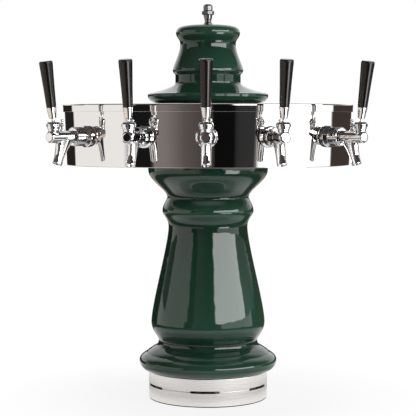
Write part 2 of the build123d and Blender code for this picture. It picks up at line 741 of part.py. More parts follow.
with BuildPart() as cavity_former:
    head_block(head_bottom, head_top, -PAN_WALL - SEAT_GAP)


def make_shank(station):
    """A threaded tube with a domed flange outside the wall and a hose nipple inside the head."""
    along = outwards(station)
    with BuildPart() as shank:
        turn(along, [
            (0, -FLANGE_RIM), (FLANGE_RADIUS, -FLANGE_RIM), (FLANGE_RADIUS, FLANGE_RIM),
            (FLANGE_FRONT_RADIUS, FLANGE_LENGTH), (0, FLANGE_LENGTH),
        ])
        add(wall_former.part, mode=Mode.SUBTRACT)
        rod(along, SHANK_RADIUS, NIPPLE_LENGTH - SHANK_TAIL, SHANK_REACH)
        rod(along, NIPPLE_RADIUS, -SHANK_TAIL, NIPPLE_LENGTH - SHANK_TAIL)
        rod(along, SHANK_BORE, SHANK_REACH - SHANK_BORE_DEPTH, SHANK_REACH, Mode.SUBTRACT)
        rod(along, NIPPLE_RADIUS - BEER_LINE_WALL, -SHANK_TAIL, SHANK_REACH, Mode.SUBTRACT)
    return shank


def make_shank_nut(station):
    """The hexagon nut that pulls the flange against the wall from inside."""
    along = outwards(station)
    across = Plane(origin=along.origin, x_dir=along.x_dir, z_dir=along.y_dir)
    with BuildPart() as nut:
        with BuildSketch(across.offset(-PAN_WALL - SHANK_NUT_THICK)):
            RegularPolygon(SHANK_NUT_FLATS / 2, 6, major_radius=False)
        extrude(amount=SHANK_NUT_THICK + PAN_WALL)
        add(cavity_former.part, mode=Mode.INTERSECT)
        rod(along, SHANK_RADIUS + THREAD_GAP, -SHANK_TAIL, SHANK_REACH, Mode.SUBTRACT)
    return nut


def make_coupling_nut(station):
    """The round nut that runs on the shank and holds the faucet by its shoulder."""
    lip_start = SHANK_REACH + SHOULDER_LENGTH + SEAT_GAP
    bevel_radius = COUPLING_RADIUS - COUPLING_BEVEL
    with BuildPart() as nut:
        turn(outwards(station), [
            (SHANK_RADIUS + THREAD_GAP, COUPLING_START), (bevel_radius, COUPLING_START),
            (COUPLING_RADIUS, COUPLING_START + COUPLING_BEVEL),
            (COUPLING_RADIUS, COUPLING_END - COUPLING_BEVEL), (bevel_radius, COUPLING_END),
            (BARREL_RADIUS + SEAT_GAP, COUPLING_END),
            (BARREL_RADIUS + SEAT_GAP, lip_start), (SHOULDER_RADIUS + SEAT_GAP, lip_start),
            (SHOULDER_RADIUS + SEAT_GAP, SHANK_REACH), (SHANK_RADIUS + THREAD_GAP, SHANK_REACH),
        ])
    return nut


with BuildPart() as shank_nuts:
    for station in stations:
        add(make_shank_nut(station).part)
save(shank_nuts, "shank_nuts")

with BuildPart() as coupling_nuts:
    for station in stations:
        add(make_coupling_nut(station).part)
save(coupling_nuts, "coupling_nuts")

# ---------------------------------------------------------------- faucets


def spout_section(axis_plane, distance, half_depth, half_width):
    """One oval section of the spout, square to its axis."""
    cut = Plane(
        origin=axis_plane.origin - axis_plane.y_dir * distance,
        x_dir=axis_plane.x_dir,
        z_dir=-axis_plane.y_dir,
    )
    with BuildSketch(cut) as section:
        Ellipse(half_depth, half_width)
    return section.sketch


def make_faucet_body(station):
    """Barrel, neck, boss and spout in one casting, with the beer's way and the lever's room inside."""
    along = outwards(station)
    neck = leaning(station, LEVER_REACH, 0, 0)
    pivot = leaning(station, LEVER_REACH, PIVOT_RISE, 0)
    boss = leaning(station, BOSS_REACH, 0, 0)
    spout = leaning(station, SPOUT_ROOT, 0, -SPOUT_LEAN)
    stub_top = NECK_TOP + STUB_RISE
    barrel_back = SHANK_REACH + SHOULDER_LENGTH
    nose_start = BARREL_END - NOSE_ROUND
    nose_flat = BARREL_RADIUS - NOSE_ROUND
    distances = [*SPOUT_STATIONS, SPOUT_LENGTH]
    shapes = zip(distances, SPOUT_HALF_DEPTHS, SPOUT_HALF_WIDTHS)
    with BuildPart() as body:
        loft([spout_section(spout, *shape) for shape in shapes])
        turn(along, [
            (0, SHANK_REACH), (SHOULDER_RADIUS, SHANK_REACH), (SHOULDER_RADIUS, barrel_back),
            (BARREL_RADIUS, barrel_back), (BARREL_RADIUS, nose_start), (0, nose_start),
        ])
        with BuildSketch(along) as nose:
            with BuildLine():
                Line((0, nose_start), (BARREL_RADIUS, nose_start))
                RadiusArc((BARREL_RADIUS, nose_start), (nose_flat, BARREL_END), -NOSE_ROUND)
                Line((nose_flat, BARREL_END), (0, BARREL_END))
                Line((0, BARREL_END), (0, nose_start))
            make_face()
        revolve(nose.sketch, axis=Axis(along.origin, along.y_dir))
        rod(neck, NECK_OUTSIDE, 0, NECK_TOP)
        rod(neck, STUB_RADIUS, 0, stub_top)
        rod(boss, BOSS_RADIUS, 0, BOSS_RISE)
        rod(along, INLET_RADIUS, SHANK_REACH, port_start, Mode.SUBTRACT)
        rod(along, PORT_RADIUS, port_start, flow_start, Mode.SUBTRACT)
        rod(along, FLOW_RADIUS, flow_start, flow_end, Mode.SUBTRACT)
        rod(along, SHAFT_RADIUS + SLIDE_GAP, flow_end, lever_room_start, Mode.SUBTRACT)
        rod(along, LEVER_ROOM_RADIUS, lever_room_start, lever_room_end, Mode.SUBTRACT)
        turn(neck, [
            (0, 0), (NECK_INSIDE, 0), (NECK_INSIDE, NECK_TOP - STUB_HOLE),
            (STUB_HOLE, stub_top), (0, stub_top),
        ], Mode.SUBTRACT)
        ball(pivot, BALL_RADIUS + RUN_GAP, Mode.SUBTRACT)
        rod(boss, SCREW_RADIUS + THREAD_GAP, SCREW_DEPTH, BOSS_RISE, Mode.SUBTRACT)
        rod(spout, SPOUT_FEED, -SPOUT_LENGTH, -SPOUT_FEED_TOP, Mode.SUBTRACT)
        rod(spout, SPOUT_BORE, -SPOUT_LENGTH, SPOUT_BORE_DEPTH - SPOUT_LENGTH, Mode.SUBTRACT)
    return body


def make_bonnet(station):
    """The ring nut that holds the lever's ball down in the neck."""
    pivot = leaning(station, LEVER_REACH, PIVOT_RISE, 0)
    foot = NECK_TOP - PIVOT_RISE
    thread_top = foot + STUB_RISE + SEAT_GAP
    with BuildPart() as bonnet:
        turn(pivot, [
            (0, foot), (BONNET_SKIRT_RADIUS, foot), (BONNET_SKIRT_RADIUS, foot + BONNET_SKIRT),
            (BONNET_RADIUS, foot + BONNET_SKIRT), (BONNET_RADIUS, BONNET_SIDE_TOP),
            (BONNET_TOP_RADIUS, BONNET_TOP), (0, BONNET_TOP),
        ])
        rod(pivot, STUB_RADIUS + THREAD_GAP, foot, thread_top, Mode.SUBTRACT)
        ball(pivot, BALL_RADIUS + RUN_GAP, Mode.SUBTRACT)
        lip = sqrt((BALL_RADIUS + RUN_GAP) ** 2 - BONNET_LIP**2)
        turn(pivot, [
            (0, BONNET_LIP), (lip, BONNET_LIP), (BONNET_MOUTH, BONNET_TOP), (0, BONNET_TOP),
        ], Mode.SUBTRACT)
    return bonnet


def make_lever(station):
    """Ball, threaded stem above it and cranked arm below it."""
    up = leaning(station, LEVER_REACH, PIVOT_RISE, LEVER_LEAN)
    down = leaning(station, LEVER_REACH, PIVOT_RISE, -arm_lean)
    tip = Plane(origin=down.origin - down.y_dir * LEVER_ARM, x_dir=down.x_dir, z_dir=down.z_dir)
    with BuildPart() as lever:
        ball(up, BALL_RADIUS)
        rod(up, LEVER_STEM_RADIUS, 0, LEVER_STEM_TOP)
        rod(down, ARM_RADIUS, -LEVER_ARM, 0)
        ball(tip, ARM_TIP_RADIUS)
    return lever


def make_ferrule(station):
    """The tapered metal sleeve below the handle."""
    up = leaning(station, LEVER_REACH, PIVOT_RISE, LEVER_LEAN)
    bore = LEVER_STEM_RADIUS + THREAD_GAP
    with BuildPart() as ferrule:
        turn(up, [
            (bore, FERRULE_START), (FERRULE_FOOT_RADIUS, FERRULE_START),
            (FERRULE_TOP_RADIUS, FERRULE_END), (bore, FERRULE_END),
        ])
    return ferrule


def make_handle(station):
    """The tapered grip, screwed on the lever's stem."""
    up = leaning(station, LEVER_REACH, PIVOT_RISE, LEVER_LEAN)
    handle_end = FERRULE_END + HANDLE_LENGTH
    with BuildPart() as handle:
        turn(up, [
            (0, FERRULE_END), (HANDLE_FOOT_RADIUS, FERRULE_END),
            (HANDLE_TOP_RADIUS, handle_end - HANDLE_ROUND),
            (HANDLE_TOP_RADIUS - HANDLE_ROUND, handle_end), (0, handle_end),
        ])
        rod(up, LEVER_STEM_RADIUS + THREAD_GAP, FERRULE_END, FERRULE_END + HANDLE_SOCKET, Mode.SUBTRACT)
    return handle


def make_valve_shaft(station):
    """The shaft with its valve at the back and, at the front, the slotted yoke that the lever's arm moves."""
    along = outwards(station)
    yoke_start = yoke_reach - YOKE_LENGTH / 2
    slot_floor = PIVOT_RISE - LEVER_ARM - ARM_TIP_RADIUS - RUN_GAP
    slot_half = ARM_TIP_RADIUS + RUN_GAP
    slot_foot = Plane(
        origin=station.from_local_coords((yoke_reach, slot_floor, 0)), x_dir=station.x_dir, z_dir=(0, 0, 1)
    )
    with BuildPart() as shaft:
        rod(along, VALVE_RADIUS, port_start - RUN_GAP - VALVE_THICK, port_start - RUN_GAP)
        rod(along, SHAFT_RADIUS, port_start - RUN_GAP, yoke_start)
        rod(along, YOKE_RADIUS, yoke_start, yoke_start + YOKE_LENGTH)
        with BuildSketch(slot_foot):
            Rectangle(2 * slot_half, 2 * slot_half)
        extrude(amount=YOKE_RADIUS, mode=Mode.SUBTRACT)
    return shaft


def make_thumb_screw(station):
    """A small ball-headed screw that closes the boss."""
    upright = leaning(station, BOSS_REACH, 0, 0)
    head = leaning(station, BOSS_REACH, SCREW_TOP, 0)
    with BuildPart() as screw:
        rod(upright, SCREW_RADIUS, SCREW_DEPTH, SCREW_TOP)
        rod(upright, SCREW_COLLAR_RADIUS, SCREW_COLLAR_RISE, SCREW_COLLAR_RISE + SCREW_COLLAR)
        ball(head, SCREW_BALL_RADIUS)
    return screw


with BuildPart() as thumb_screws:
    for station in stations:
        add(make_thumb_screw(station).part)
save(thumb_screws, "thumb_screws")

with BuildPart() as shanks:
    for station in stations:
        add(make_shank(station).part)
save(shanks, "shanks")

for number, station in enumerate(stations, start=1):
    save(make_faucet_body(station), f"faucet_body_{number}")
    save(make_bonnet(station), f"bonnet_{number}")
    save(make_lever(station), f"lever_{number}")
    save(make_ferrule(station), f"ferrule_{number}")
    save(make_handle(station), f"handle_{number}")
    save(make_valve_shaft(station), f"valve_shaft_{number}")
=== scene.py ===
# %% [markdown]
# # A counter-top beer tower
# A steel base carries a hollow, dark green glazed column. The column carries a wide, mirror-polished oval
# head with five faucets along its front, and a glazed cap with a small finial closes the top. Almost all of
# it is turned on a lathe, thrown on a wheel or bent from sheet, so the lesson is about three things: turned
# outlines with softened edges, castings that melt into each other, and finishes that live from reflections.

# %% The frame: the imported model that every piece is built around
import json
from math import asin, atan2, cos, degrees, pi, radians, sin, sqrt

import bmesh
import bpy
from mathutils import Matrix, Vector


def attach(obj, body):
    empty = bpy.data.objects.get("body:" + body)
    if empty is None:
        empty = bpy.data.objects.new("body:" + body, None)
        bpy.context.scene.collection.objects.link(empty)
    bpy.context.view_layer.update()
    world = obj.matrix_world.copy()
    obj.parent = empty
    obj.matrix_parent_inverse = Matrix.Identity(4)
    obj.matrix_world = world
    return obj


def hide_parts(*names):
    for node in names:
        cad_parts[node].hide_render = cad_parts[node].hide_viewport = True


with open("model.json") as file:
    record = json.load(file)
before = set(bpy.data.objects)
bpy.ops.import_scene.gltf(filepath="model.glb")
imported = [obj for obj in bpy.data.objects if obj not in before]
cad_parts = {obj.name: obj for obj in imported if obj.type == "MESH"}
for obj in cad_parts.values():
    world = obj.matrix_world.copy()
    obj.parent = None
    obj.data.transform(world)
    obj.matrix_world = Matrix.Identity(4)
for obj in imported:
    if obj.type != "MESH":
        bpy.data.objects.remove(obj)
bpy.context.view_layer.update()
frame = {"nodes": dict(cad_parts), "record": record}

MM = 0.001

# %% [markdown]
# ## The camera
# A long lens from about three metres keeps the upright lines of the tower nearly parallel, as a catalogue
# picture does. The camera stands a little above the head's middle, a touch to the right of straight
# ahead, and looks slightly down.

# %% The camera
CAMERA_AZIMUTH = 0.7
CAMERA_DISTANCE = 2.94
CAMERA_HEIGHT = 0.5886
AIM_HEIGHT = 0.3995
LENS = 121.15


def linked(name, data):
    """A new object in the scene."""
    made = bpy.data.objects.new(name, data)
    bpy.context.scene.collection.objects.link(made)
    return made


lens = bpy.data.cameras.new("camera")
lens.lens = LENS
lens.sensor_width = 36.0
lens.clip_end = 50.0
camera = linked("camera", lens)
facing = radians(CAMERA_AZIMUTH)
camera.location = (CAMERA_DISTANCE * sin(facing), -CAMERA_DISTANCE * cos(facing), CAMERA_HEIGHT)
to_aim = Vector((0, 0, AIM_HEIGHT)) - camera.location
camera.rotation_euler = to_aim.to_track_quat("-Z", "Y").to_euler()
bpy.context.scene.camera = camera
bpy.context.scene.view_settings.view_transform = "Standard"
print("camera looks down by", round(degrees(asin(-to_aim.z / to_aim.length)), 2), "degrees")

# %% [markdown]
# ## Small helpers for node trees
# A finish or a shape tree is a handful of nodes joined by links. Two short helpers keep that readable: one
# adds a node and sets its values, the other joins sockets.


# %% Helpers for node trees
def add(tree, kind, inputs=None, **settings):
    """Adds a node; settings are its properties, inputs its socket values or the sockets that feed it."""
    node = tree.nodes.new(kind)
    for key, value in settings.items():
        setattr(node, key, value)
    for key, value in (inputs or {}).items():
        if isinstance(value, bpy.types.NodeSocket):
            tree.links.new(value, node.inputs[key])
        else:
            node.inputs[key].default_value = value
    return node


def math(tree, operation, *values):
    """One number made from others."""
    return add(tree, "ShaderNodeMath", dict(enumerate(values)), operation=operation).outputs[0]


def rgb(tone):
    """A colour as it is, or a grey from one number."""
    return tone if isinstance(tone, tuple) else (tone, tone, tone)


def ramp(tree, fac, stops):
    """A colour ramp from (position, colour) pairs."""
    node = add(tree, "ShaderNodeValToRGB", {"Fac": fac})
    elements = node.color_ramp.elements
    while len(elements) < len(stops):
        elements.new(1.0)
    for element, (position, colour) in zip(elements, stops):
        element.position = position
        element.color = (*rgb(colour), 1.0)
    return node.outputs["Color"]


def between(tree, value, low, high):
    """A smooth step from 0 at one value to 1 at another."""
    inputs = {"Value": value, "From Min": low, "From Max": high}
    return add(tree, "ShaderNodeMapRange", inputs, interpolation_type="SMOOTHSTEP").outputs["Result"]


def blend(tree, fac, first, second):
    """Mixes two colours."""
    node = add(tree, "ShaderNodeMix", data_type="RGBA")
    for socket, value in ((0, fac), (6, first), (7, second)):
        if isinstance(value, bpy.types.NodeSocket):
            tree.links.new(value, node.inputs[socket])
        else:
            node.inputs[socket].default_value = value
    return node.outputs[2]


def mix(tree, share, first, second):
    """Mixes two shaders."""
    return add(tree, "ShaderNodeMixShader", {0: share, 1: first, 2: second}).outputs[0]


# %% [markdown]
# ## The studio
# Glaze and mirror metal show hardly anything but their surroundings, so the studio is the most important
# finish of all. Here it is one sky of bands: a bright softbox to the right, a white one to the left, a
# brown-grey wall and black cards in front. The bands are told apart by bearing from the camera and by height.
# There are four levels: the ground, which the handles show, the table level, which the head's mirror shows,
# the softboxes at eye level, and a ceiling that is dark in front and white at the back. They light the part.

# %% The studio sky
SOFTBOX = 6.4  # how much brighter the right softbox is than white paper
GREY_WALL = (0.256, 0.225, 0.21)
DIM_WALL = (0.088, 0.07, 0.063)
BROWN_WALL = (0.055, 0.043, 0.036)
BLACK_CLOTH = (0.02, 0.018, 0.016)
WARM_FLOOR = (0.6, 0.55, 0.5)
DARK_CEILING = (0.12, 0.085, 0.08)
GROUND_UNTIL, EYE_FROM, CEILING_FROM = (-10.0, -8.0), (4.0, 5.0), (19.0, 21.0)  # heights in degrees

EYE_LEVEL = [  # bearing from the camera in degrees, colour
    (-180, 1.1), (-140, 1.1), (-120, 0.2), (-101, 0.12), (-99, (1.0, 1.0, 0.95)), (-44, (1.1, 1.08, 1.04)),
    (-42, 0.02), (-30, 0.02), (-28, GREY_WALL), (-5, DIM_WALL), (-2, 0.02), (12, 0.02), (13.5, 0.3),
    (15, SOFTBOX), (82, SOFTBOX), (84, 0.5), (115, 0.3), (140, 1.1), (180, 1.1),
]
TABLE_LEVEL = [
    (-180, BLACK_CLOTH), (-126.5, BLACK_CLOTH), (-124, (1.04, 1.02, 0.98)), (-50, (1.06, 1.04, 1.0)),
    (-46.5, 0.01), (-32.5, 0.01), (-31.5, GREY_WALL), (-24, (0.24, 0.21, 0.195)),
    (-14, (0.125, 0.105, 0.097)), (-5, DIM_WALL), (1, DIM_WALL), (2.5, 0.005), (14, 0.005), (16, 0.034),
    (26.5, 0.04), (28.5, 1.5), (99.5, 1.5), (102, BROWN_WALL), (180, BROWN_WALL),
]
GROUND_LEVEL = [
    (-180, WARM_FLOOR), (-60, (0.95, 0.82, 0.7)), (-20, (0.75, 0.65, 0.55)), (-10, 0.02), (32, 0.02),
    (36, SOFTBOX), (60, SOFTBOX), (66, 0.3), (120, 0.3), (180, WARM_FLOOR),
]
CEILING = [
    (-180, 1.1), (-145, 1.0), (-125, 0.06), (-60, DARK_CEILING), (-15, DARK_CEILING), (10, 0.05), (125, 0.06),
    (145, 1.0), (180, 1.1),
]

world = bpy.data.worlds.new("studio")
bpy.context.scene.world = world
world.use_nodes = True
sky = world.node_tree
sky.nodes.clear()
way = add(sky, "ShaderNodeSeparateXYZ", {0: add(sky, "ShaderNodeTexCoord").outputs["Generated"]})
away = math(sky, "MULTIPLY", way.outputs["Y"], -1.0)
bearing = math(sky, "SUBTRACT", math(sky, "ARCTAN2", way.outputs["X"], away), facing)
turn_share = math(sky, "WRAP", math(sky, "MULTIPLY_ADD", bearing, 0.5 / pi, 0.5), 1.0, 0.0)
height = math(sky, "MULTIPLY", math(sky, "ARCSINE", way.outputs["Z"]), 180 / pi)


def bands(stops):
    """The ramp of one level, with its colours as shares of the softbox."""
    shares = [((b + 180) / 360, tuple(c / SOFTBOX for c in rgb(colour))) for b, colour in stops]
    return ramp(sky, turn_share, shares)


level = blend(sky, between(sky, height, *EYE_FROM), bands(TABLE_LEVEL), bands(EYE_LEVEL))
level = blend(sky, between(sky, height, *CEILING_FROM), level, bands(CEILING))
level = blend(sky, between(sky, height, *GROUND_UNTIL), bands(GROUND_LEVEL), level)
seen = add(sky, "ShaderNodeLightPath").outputs["Is Camera Ray"]
lit = add(sky, "ShaderNodeBackground", {"Color": level, "Strength": SOFTBOX}).outputs[0]
white = add(sky, "ShaderNodeBackground", {"Color": (1, 1, 1, 1), "Strength": 1.0}).outputs[0]
add(sky, "ShaderNodeOutputWorld", {"Surface": mix(sky, seen, lit, white)})
print("sky of", len(EYE_LEVEL) + len(TABLE_LEVEL) + len(GROUND_LEVEL) + len(CEILING), "stops")

# %% [markdown]
# ## The floor
# A plain pale floor. It keeps the tower's soft shadow close by and fades to paper white further out, so
# that it has no edge. The fade is a matter of distance from the tower's axis, not of the camera. In
# reflections the floor glows instead with painted rings of light and shade, which end where the sky's
# ground takes over.

# %% The floor
FLOOR_RADIUS = 3.2
FADE_START, FADE_END = 0.15, 0.5
PAPER_SHARE = 0.86
# Painted light and shade that polished pieces see on the floor: pale and dark rings by distance from the axis.
PAINTED_RINGS_END = (1.2, 1.3)
PAINTED_RING_TONES = [(0.17, 0.9), (0.2, 0.5), (0.27, 0.6), (0.34, 1.0), (0.55, 1.0), (0.68, 0.06)]  # metres, tone

paper = bpy.data.materials.new("floor paper")
paper.use_nodes = True
tree = paper.node_tree
tree.nodes.clear()
place = add(tree, "ShaderNodeTexCoord").outputs["Object"]
reach = add(tree, "ShaderNodeVectorMath", {0: place}, operation="LENGTH").outputs["Value"]
share = math(tree, "MULTIPLY_ADD", between(tree, reach, FADE_START, FADE_END), 1 - PAPER_SHARE, PAPER_SHARE)
ray = add(tree, "ShaderNodeLightPath").outputs
share = math(tree, "MULTIPLY", share, ray["Is Camera Ray"])
matt = add(tree, "ShaderNodeBsdfDiffuse", {"Color": (0.86, 0.86, 0.85, 1)}).outputs[0]
glow = add(tree, "ShaderNodeEmission", {"Color": (1, 1, 1, 1), "Strength": 1.0}).outputs[0]
# Glossy rays see a glow of painted light and shade rings in place of the lit floor.
painted_rings = add(tree, "ShaderNodeEmission", {"Color": ramp(tree, reach, PAINTED_RING_TONES), "Strength": 1.0}).outputs[0]
clear = add(tree, "ShaderNodeBsdfTransparent").outputs[0]
mirrored = mix(tree, between(tree, reach, *PAINTED_RINGS_END), painted_rings, clear)
floor_look = mix(tree, ray["Is Glossy Ray"], mix(tree, share, matt, glow), mirrored)
add(tree, "ShaderNodeOutputMaterial", {"Surface": floor_look})


def mesh_of(name, shape, *finishes):
    """The mesh of a bmesh that is done with, in its finishes."""
    mesh = bpy.data.meshes.new(name)
    shape.to_mesh(mesh)
    shape.free()
    for material in finishes:
        mesh.materials.append(material)
    return mesh


disc = bmesh.new()
bmesh.ops.create_circle(disc, cap_ends=True, radius=FLOOR_RADIUS, segments=96)
floor = linked("floor", mesh_of("floor", disc, paper))
print("floor", FLOOR_RADIUS, "m in radius")

# %% [markdown]
# ## A soft key light
# The sky alone is even. One large lamp, high on the right and hidden from the mirror, gives the turned
# shapes a lighter and a darker side and the floor its shadow.

# %% The key light
KEY_PLACE, KEY_AIM = Vector((1.6, -1.8, 1.9)), Vector((0, 0, 0.35))
KEY_SIZE = 1.2
KEY_POWER = 14.0

key = bpy.data.lights.new("key", "AREA")
key.shape = "DISK"
key.size = KEY_SIZE
key.energy = KEY_POWER
key_lamp = linked("key", key)
key_lamp.location = KEY_PLACE
key_lamp.rotation_euler = (KEY_AIM - KEY_PLACE).to_track_quat("-Z", "Y").to_euler()
key_lamp.visible_glossy = False
print("key lamp of", KEY_POWER, "W")

# %% [markdown]
# ## Finishes
# Each finish is a Principled shader with up to two kinds of detail: small changes of colour or roughness
# from noise, and a shallow bump. All patterns read Object coordinates, which are metres on every piece, so
# the grain has one scale over the whole tower.


# %% A plain finish, and the details that can be laid on it
def finish(name, colour, roughness, **sockets):
    """A new material; further sockets are given by name with _ for a blank."""
    material = bpy.data.materials.new(name)
    material.use_nodes = True
    shader = material.node_tree.nodes["Principled BSDF"]
    shader.inputs["Base Color"].default_value = (*colour, 1.0)
    shader.inputs["Roughness"].default_value = roughness
    for key, value in sockets.items():
        shader.inputs[key.replace("_", " ")].default_value = value
    print("finish:", name)
    return material, material.node_tree, shader


def grain(tree, scale, detail=2.0, stretch=(1.0, 1.0, 1.0), roughness=0.5):
    """Noise on Object coordinates, in cells to the metre, which can be stretched along an axis."""
    place = add(tree, "ShaderNodeTexCoord").outputs["Object"]
    place = add(tree, "ShaderNodeMapping", {"Vector": place, "Scale": stretch}).outputs["Vector"]
    noise = {"Vector": place, "Scale": scale, "Detail": detail, "Roughness": roughness}
    return add(tree, "ShaderNodeTexNoise", noise).outputs["Fac"]


def bump(tree, shader, heights, depth):
    """Presses a height pattern into the surface; depth is in metres."""
    inputs = {"Height": heights, "Distance": depth, "Strength": 1.0}
    made = add(tree, "ShaderNodeBump", inputs).outputs["Normal"]
    tree.links.new(made, shader.inputs["Normal"])


def vary(tree, shader, pattern, low, high):
    """Lets the roughness drift between two limits with a pattern."""
    inputs = {"Value": pattern, "From Min": 0.3, "From Max": 0.7, "To Min": low, "To Max": high}
    drift = add(tree, "ShaderNodeMapRange", inputs).outputs["Result"]
    tree.links.new(drift, shader.inputs["Roughness"])


def worn(name, colour, roughness, drift, pits=None, **sockets):
    """A finish with a drift (scale, detail, low, high) of roughness and with pits (scale, detail, depth)."""
    material, tree, shader = finish(name, colour, roughness, **sockets)
    vary(tree, shader, grain(tree, *drift[:2]), *drift[2:])
    if pits:
        bump(tree, shader, grain(tree, *pits[:2]), pits[2])
    return material


# %% [markdown]
# ### Green glaze
# A transparent green glass, about half a millimetre thick, fired on pale clay. It runs off the crests while
# it is molten and pools in the hollows, so the beads are a little lighter and the grooves darker. The
# surface is glass-smooth but not flat: it has the slow waves of a liquid that set.

# %% Green glaze
GLAZE_DEEP = (0.0075, 0.026, 0.0155)
GLAZE_BODY = (0.012, 0.044, 0.0265)
GLAZE_THIN = (0.02, 0.066, 0.041)
CRESTS = (79, 160, 395, 489, 640, 695, 762)  # heights where the glaze runs thin, in mm
HOLLOWS = (122, 361, 423, 672, 742)  # and where it pools
RAMP_TOP = 850  # the height at the end of the ramp
CREST_SHARE, CLOUD_SHARE = 0.55, 0.5
RIPPLE_SHARE, WAVE_DEPTH = 0.035, 0.00045

glaze, tree, shader = finish("green glaze", GLAZE_BODY, 0.035, IOR=1.52)
up = add(tree, "ShaderNodeSeparateXYZ", {0: add(tree, "ShaderNodeTexCoord").outputs["Object"]}).outputs["Z"]
marks = sorted([(z, 1.0) for z in CRESTS] + [(z, 0.0) for z in HOLLOWS])
stops = [(z / RAMP_TOP, level) for z, level in marks]
thin = ramp(tree, math(tree, "DIVIDE", up, RAMP_TOP * MM), stops)
clouds = grain(tree, 22.0, 4.0, (1.0, 1.0, 0.45))
thin = math(tree, "MULTIPLY", thin, CREST_SHARE)
thin = math(tree, "ADD", thin, math(tree, "MULTIPLY", clouds, CLOUD_SHARE))
colour = ramp(tree, thin, [(0.2, GLAZE_DEEP), (0.5, GLAZE_BODY), (0.95, GLAZE_THIN)])
tree.links.new(colour, shader.inputs["Base Color"])
ripples = math(tree, "MULTIPLY", grain(tree, 260.0, 2.0), RIPPLE_SHARE)
bump(tree, shader, math(tree, "ADD", grain(tree, 38.0, 1.0), ripples), WAVE_DEPTH)
print("glaze", GLAZE_BODY)

# %% [markdown]
# ### Polished sheet and chrome
# Both are metal that reflects about three quarters of the light. Rolled sheet keeps a faint waviness after
# polishing, which makes long reflections wander. Plated castings have only fine pits, a slightly softer
# reflection and a touch of blue.

# %% Polished sheet and chrome
mirror, tree, shader = finish("polished sheet", (0.76, 0.75, 0.74), 0.018, Metallic=1.0)
bump(tree, shader, grain(tree, 9.0, 1.0, (1.0, 1.0, 0.5)), 0.0009)
vary(tree, shader, grain(tree, 30.0, 3.0), 0.012, 0.03)

chrome = worn(
    "chrome", (0.79, 0.79, 0.8), 0.04, (180.0, 3.0, 0.025, 0.07), (120.0, 2.0, 0.00004), Metallic=1.0
)

# %% [markdown]
# ### Chrome with painted shade
# The finial is darker than the faucets. Its chrome is given a dark colour, which is painted shade: it is
# nearly as smooth as chrome but returns only a fifth of the light. The softbox still draws a clear edge on it.

# %% Chrome with painted shade
# The finial's chrome, darkened as painted shade.
shaded_chrome = worn("chrome with painted shade", (0.2, 0.197, 0.193), 0.06, (260.0, 2.0, 0.04, 0.1), Metallic=1.0)

# %% [markdown]
# ### Brushed steel
# The base ring was turned and brushed while it spun, so its scratches run round it. The pattern is noise
# squeezed to hair-thin lines by a large scale along Z. Object X and Y are kept at a small scale, so the lines
# close on themselves without a seam. The scratches also spread highlights across their own direction, which
# is what anisotropy does; its tangent is read round the Z axis.

# %% Brushed steel
brushed, tree, shader = finish("brushed steel", (0.70, 0.68, 0.655), 0.3, Metallic=1.0, Anisotropic=0.55)
lines = grain(tree, 1.0, 3.0, (14.0, 14.0, 2600.0), 0.7)
tone = ramp(tree, lines, [(0.3, (0.76, 0.735, 0.71)), (0.7, (0.93, 0.905, 0.875))])
tree.links.new(tone, shader.inputs["Base Color"])
vary(tree, shader, lines, 0.22, 0.42)
bump(tree, shader, lines, 0.00003)
round_z = add(tree, "ShaderNodeTangent", direction_type="RADIAL", axis="Z").outputs["Tangent"]
tree.links.new(round_z, shader.inputs["Tangent"])

# %% [markdown]
# ### Black handle plastic
# Moulded, polished and a little brown in the light. Handling leaves a haze on it, which is a slow drift of
# roughness, and the mould leaves a skin that is not quite even.

# %% Black handle plastic
plastic = worn(
    "black plastic", (0.008, 0.007, 0.006), 0.06, (90.0, 3.0, 0.09, 0.2), (300.0, 2.0, 0.00002), IOR=1.45
)

# %% [markdown]
# ### The pieces inside and under the tower
# Rubber, plain steel, foam and tubing mostly stay out of sight. They still get their own grain, because a
# gasket's edge, a washer or a screw does show, and because the part may be taken to pieces.

# %% Rubber, plain steel, foam and tubing
rubber = worn("black rubber", (0.02, 0.02, 0.02), 0.75, (60.0, 2.0, 0.6, 0.85), (900.0, 3.0, 0.00008))
steel = worn(
    "plain steel", (0.56, 0.55, 0.55), 0.35, (150.0, 3.0, 0.25, 0.45), (400.0, 3.0, 0.00003), Metallic=1.0
)
tubing = worn(
    "milky tubing", (0.72, 0.72, 0.68), 0.4, (80.0, 2.0, 0.3, 0.5), (200.0, 2.0, 0.00005), IOR=1.5
)

foam, tree, shader = finish("cream foam", (0.62, 0.54, 0.36), 0.9)
bump(tree, shader, grain(tree, 350.0, 5.0), 0.0008)
tone = ramp(tree, grain(tree, 120.0, 4.0), [(0.3, (0.55, 0.46, 0.29)), (0.7, (0.68, 0.60, 0.42))])
tree.links.new(tone, shader.inputs["Base Color"])
print(len(bpy.data.materials), "materials")

# %% [markdown]
# ## Outlines
# A turned piece is an outline of radius against height. Real edges are never sharp: a tool, a thumb or
# a polishing wheel has broken each one. So one helper eases the corners of an outline by a given reach, and
# puts an extra point just outside each eased corner, which keeps the flats flat when the mesh is shaded
# smooth. Curved stretches are Bezier curves, and a swell is one that leaves and arrives upright.


# %% Outlines
def eased(corners, closed=True, steps=4):
    """Rounds the corners (x, y, reach) of an outline in mm; a reach of 0 leaves a corner as it is."""
    points = []
    last = len(corners) - 1
    for index, (x, y, reach) in enumerate(corners):
        corner = Vector((x, y))
        if reach == 0 or (not closed and index in (0, last)):
            points.append(corner)
            continue
        before = Vector(corners[index - 1][:2]) - corner
        after = Vector(corners[(index + 1) % len(corners)][:2]) - corner
        start = corner + before.normalized() * min(reach, before.length * 0.4)
        end = corner + after.normalized() * min(reach, after.length * 0.4)
        points.append(corner + before.normalized() * min(reach * 1.3, before.length * 0.48))
        for step in range(steps + 1):
            t = step / steps
            points.append(start * (1 - t) ** 2 + corner * 2 * t * (1 - t) + end * t * t)
        points.append(corner + after.normalized() * min(reach * 1.3, after.length * 0.48))
    return points


def solid(corners, steps=4):
    """An eased outline that starts and ends on the axis and is closed along it."""
    return [*eased(corners, closed=False, steps=steps), corners[0][:2]]


